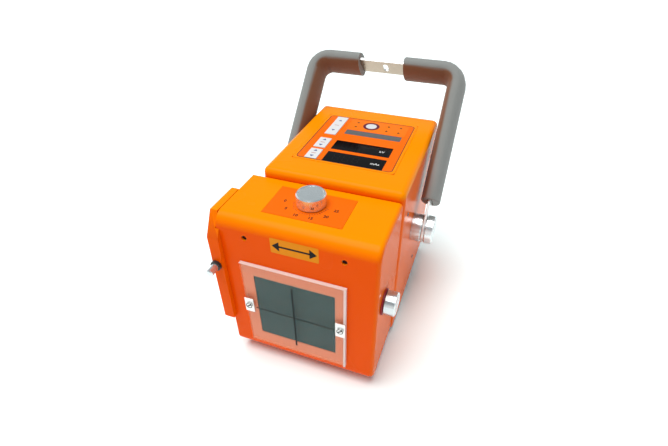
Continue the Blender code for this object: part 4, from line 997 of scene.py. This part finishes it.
grub_angle = math.radians(-62)
grub_height = 5 * MM
grub_depth = 0.3 * MM
grub_inner = (0.7 * MM, -0.4 * MM)
grub_outer = (1.6 * MM, 0.35 * MM)
grub_corner = 0.15 * MM
grub_direction = Vector((math.cos(grub_angle), math.sin(grub_angle), 0))
knob_radius = (dial_high.x - dial_low.x) / 2
grub_level = Vector((dial_middle.x, dial_middle.y, dial_low.z + grub_height))
grub_place = grub_level + grub_direction * (knob_radius - grub_depth)
grub_turn = grub_direction.to_track_quat("Z", "Y").to_matrix()
spun(
    "grub_screw", grub_inner, grub_outer, grub_corner, grub_place, grub_turn,
    "top_dial", dark_screw,
)
ring_dark = (0.30, 0.008, 0.020)
ring_light = (0.38, 0.012, 0.026)


def ring_surface(place):
    cloud = noise(place, scale=200)
    return {"Base Color": cloud.mix(ring_dark, ring_light), "Roughness": 0.35 + cloud * 0.1}


refined("side_dial_ring", make_finish("red_plastic", {}, ring_surface))

# Lamp button: a chromed push button in a black collar on the lamp cover's front.
# It switches the light field on and springs back.
button_low, button_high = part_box("lamp_button")
button_chrome = make_turned("button_chrome", (button_low + button_high) / 2, "Y")
refined("lamp_button", button_chrome)
refined("button_collar", black_plastic)

# Handle: a bent steel strap on two studs, held by turned bosses and clamp knobs.
# The strap is brushed along its length and the knobs and bosses are polished. The strap's inner side is
# painted tan, a painted reflection of the orange housing.
strap_bright = (0.86, 0.86, 0.85)
strap_inner_reflection = (0.50, 0.385, 0.29)
strap_low, strap_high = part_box("handle_strap")
bail_middle = (strap_low + strap_high) / 2
inner_side = 0.3
reflection_gain = 3


def facing_inward(place):
    """How far a spot on the bail looks towards the bail's middle, from -1 to 1."""
    facing = place.node("ShaderNodeTexCoord", {}, {}, "Normal")
    inward = place.node("ShaderNodeVectorMath", {"operation": "SUBTRACT"}, {0: bail_middle, 1: place})
    inward = place.node("ShaderNodeVectorMath", {"operation": "NORMALIZE"}, {0: inward})
    return place.node("ShaderNodeVectorMath", {"operation": "DOT_PRODUCT"}, {0: inward, 1: facing}, "Value")


def strap_surface(place):
    # Painted reflection: faces turned towards the bail's middle take a tan colour for the orange housing they
    # face.
    painted_reflection = (facing_inward(place) - inner_side) * reflection_gain
    return {**steel_surface(place), "Base Color": painted_reflection.mix(strap_bright, strap_inner_reflection)}


strap_steel = make_finish("strap_steel", {"Metallic": 1.0}, strap_surface)
refined("handle_strap", strap_steel, width=0.4 * MM)
for node in ("pivot_boss_left", "pivot_boss_right", "clamp_knob_left", "clamp_knob_right"):
    turned_low, turned_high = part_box(node)
    refined(node, make_turned(node + "_steel", (turned_low + turned_high) / 2, "X"))

# Grips: grey closed-cell foam tubes pushed over the strap's arms and round its bends.
# The skin is matt with fine pores and the cut ends are slightly rounded. The inner side is painted
# brown-orange, a painted shade with a painted reflection of the orange housing.
foam_grey = (0.252, 0.260, 0.247)
foam_shade_brown = (0.20, 0.083, 0.036)
shade_gain = 3.5
uneven_shade = 0.1
end_rounding = 2.2 * MM
end_angle = math.radians(55)


def foam_surface(place):
    pores = place.node("ShaderNodeTexVoronoi", {}, {"Vector": place, "Scale": 900.0}, "Distance")
    cloud = noise(place, scale=35)
    lumps = noise(place, scale=160)
    # Painted shade and reflection: faces turned towards the bail's middle are darkened to brown-orange.
    painted_shade = (facing_inward(place) - inner_side + cloud * uneven_shade) * shade_gain
    return {
        "Base Color": painted_shade.mix(foam_grey, foam_shade_brown),
        "Roughness": 0.72 + lumps * 0.15,
        "Normal": bump(pores * 0.5 + lumps * 0.5, strength=0.35, distance=0.4 * MM),
    }


grey_foam = make_finish("grey_foam", {"Sheen Weight": 0.15, "Sheen Roughness": 0.5}, foam_surface)
for node in ("grip_left", "grip_right"):
    grip = merged_copy(node)
    start_editing(grip, "VERT")
    bpy.ops.mesh.select_all(action="SELECT")
    bpy.ops.mesh.quads_convert_to_tris()
    bpy.ops.mesh.tris_convert_to_quads()
    bpy.ops.object.mode_set(mode="OBJECT")
    soften(grip, end_rounding, segments=3, angle=end_angle)
    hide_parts(node)
    settle(grip, node + "_foam", "handle", grey_foam)

# Shutter blades and mirror: slate-grey lead-faced steel blades with racks, and a silvered mirror behind them.
# They sit inside the head and show only faintly through the smoked pane.
blade_dark = (0.08, 0.11, 0.12)
blade_light = (0.11, 0.15, 0.16)
silver_colour = (0.9, 0.9, 0.9)


def blade_surface(place):
    cloud = noise(place, scale=150)
    return {"Base Color": cloud.mix(blade_dark, blade_light), "Roughness": 0.35 + cloud * 0.2}


slate_blade = make_finish("slate_blade", {"Metallic": 0.6}, blade_surface)
coat(("blade_left", "blade_right", "blade_upper", "blade_lower"), slate_blade)
silvered_mirror = make_finish(
    "silvered_mirror", {"Base Color": (*silver_colour, 1), "Metallic": 1.0}, smeared_glass
)
coat(["mirror"], silvered_mirror)
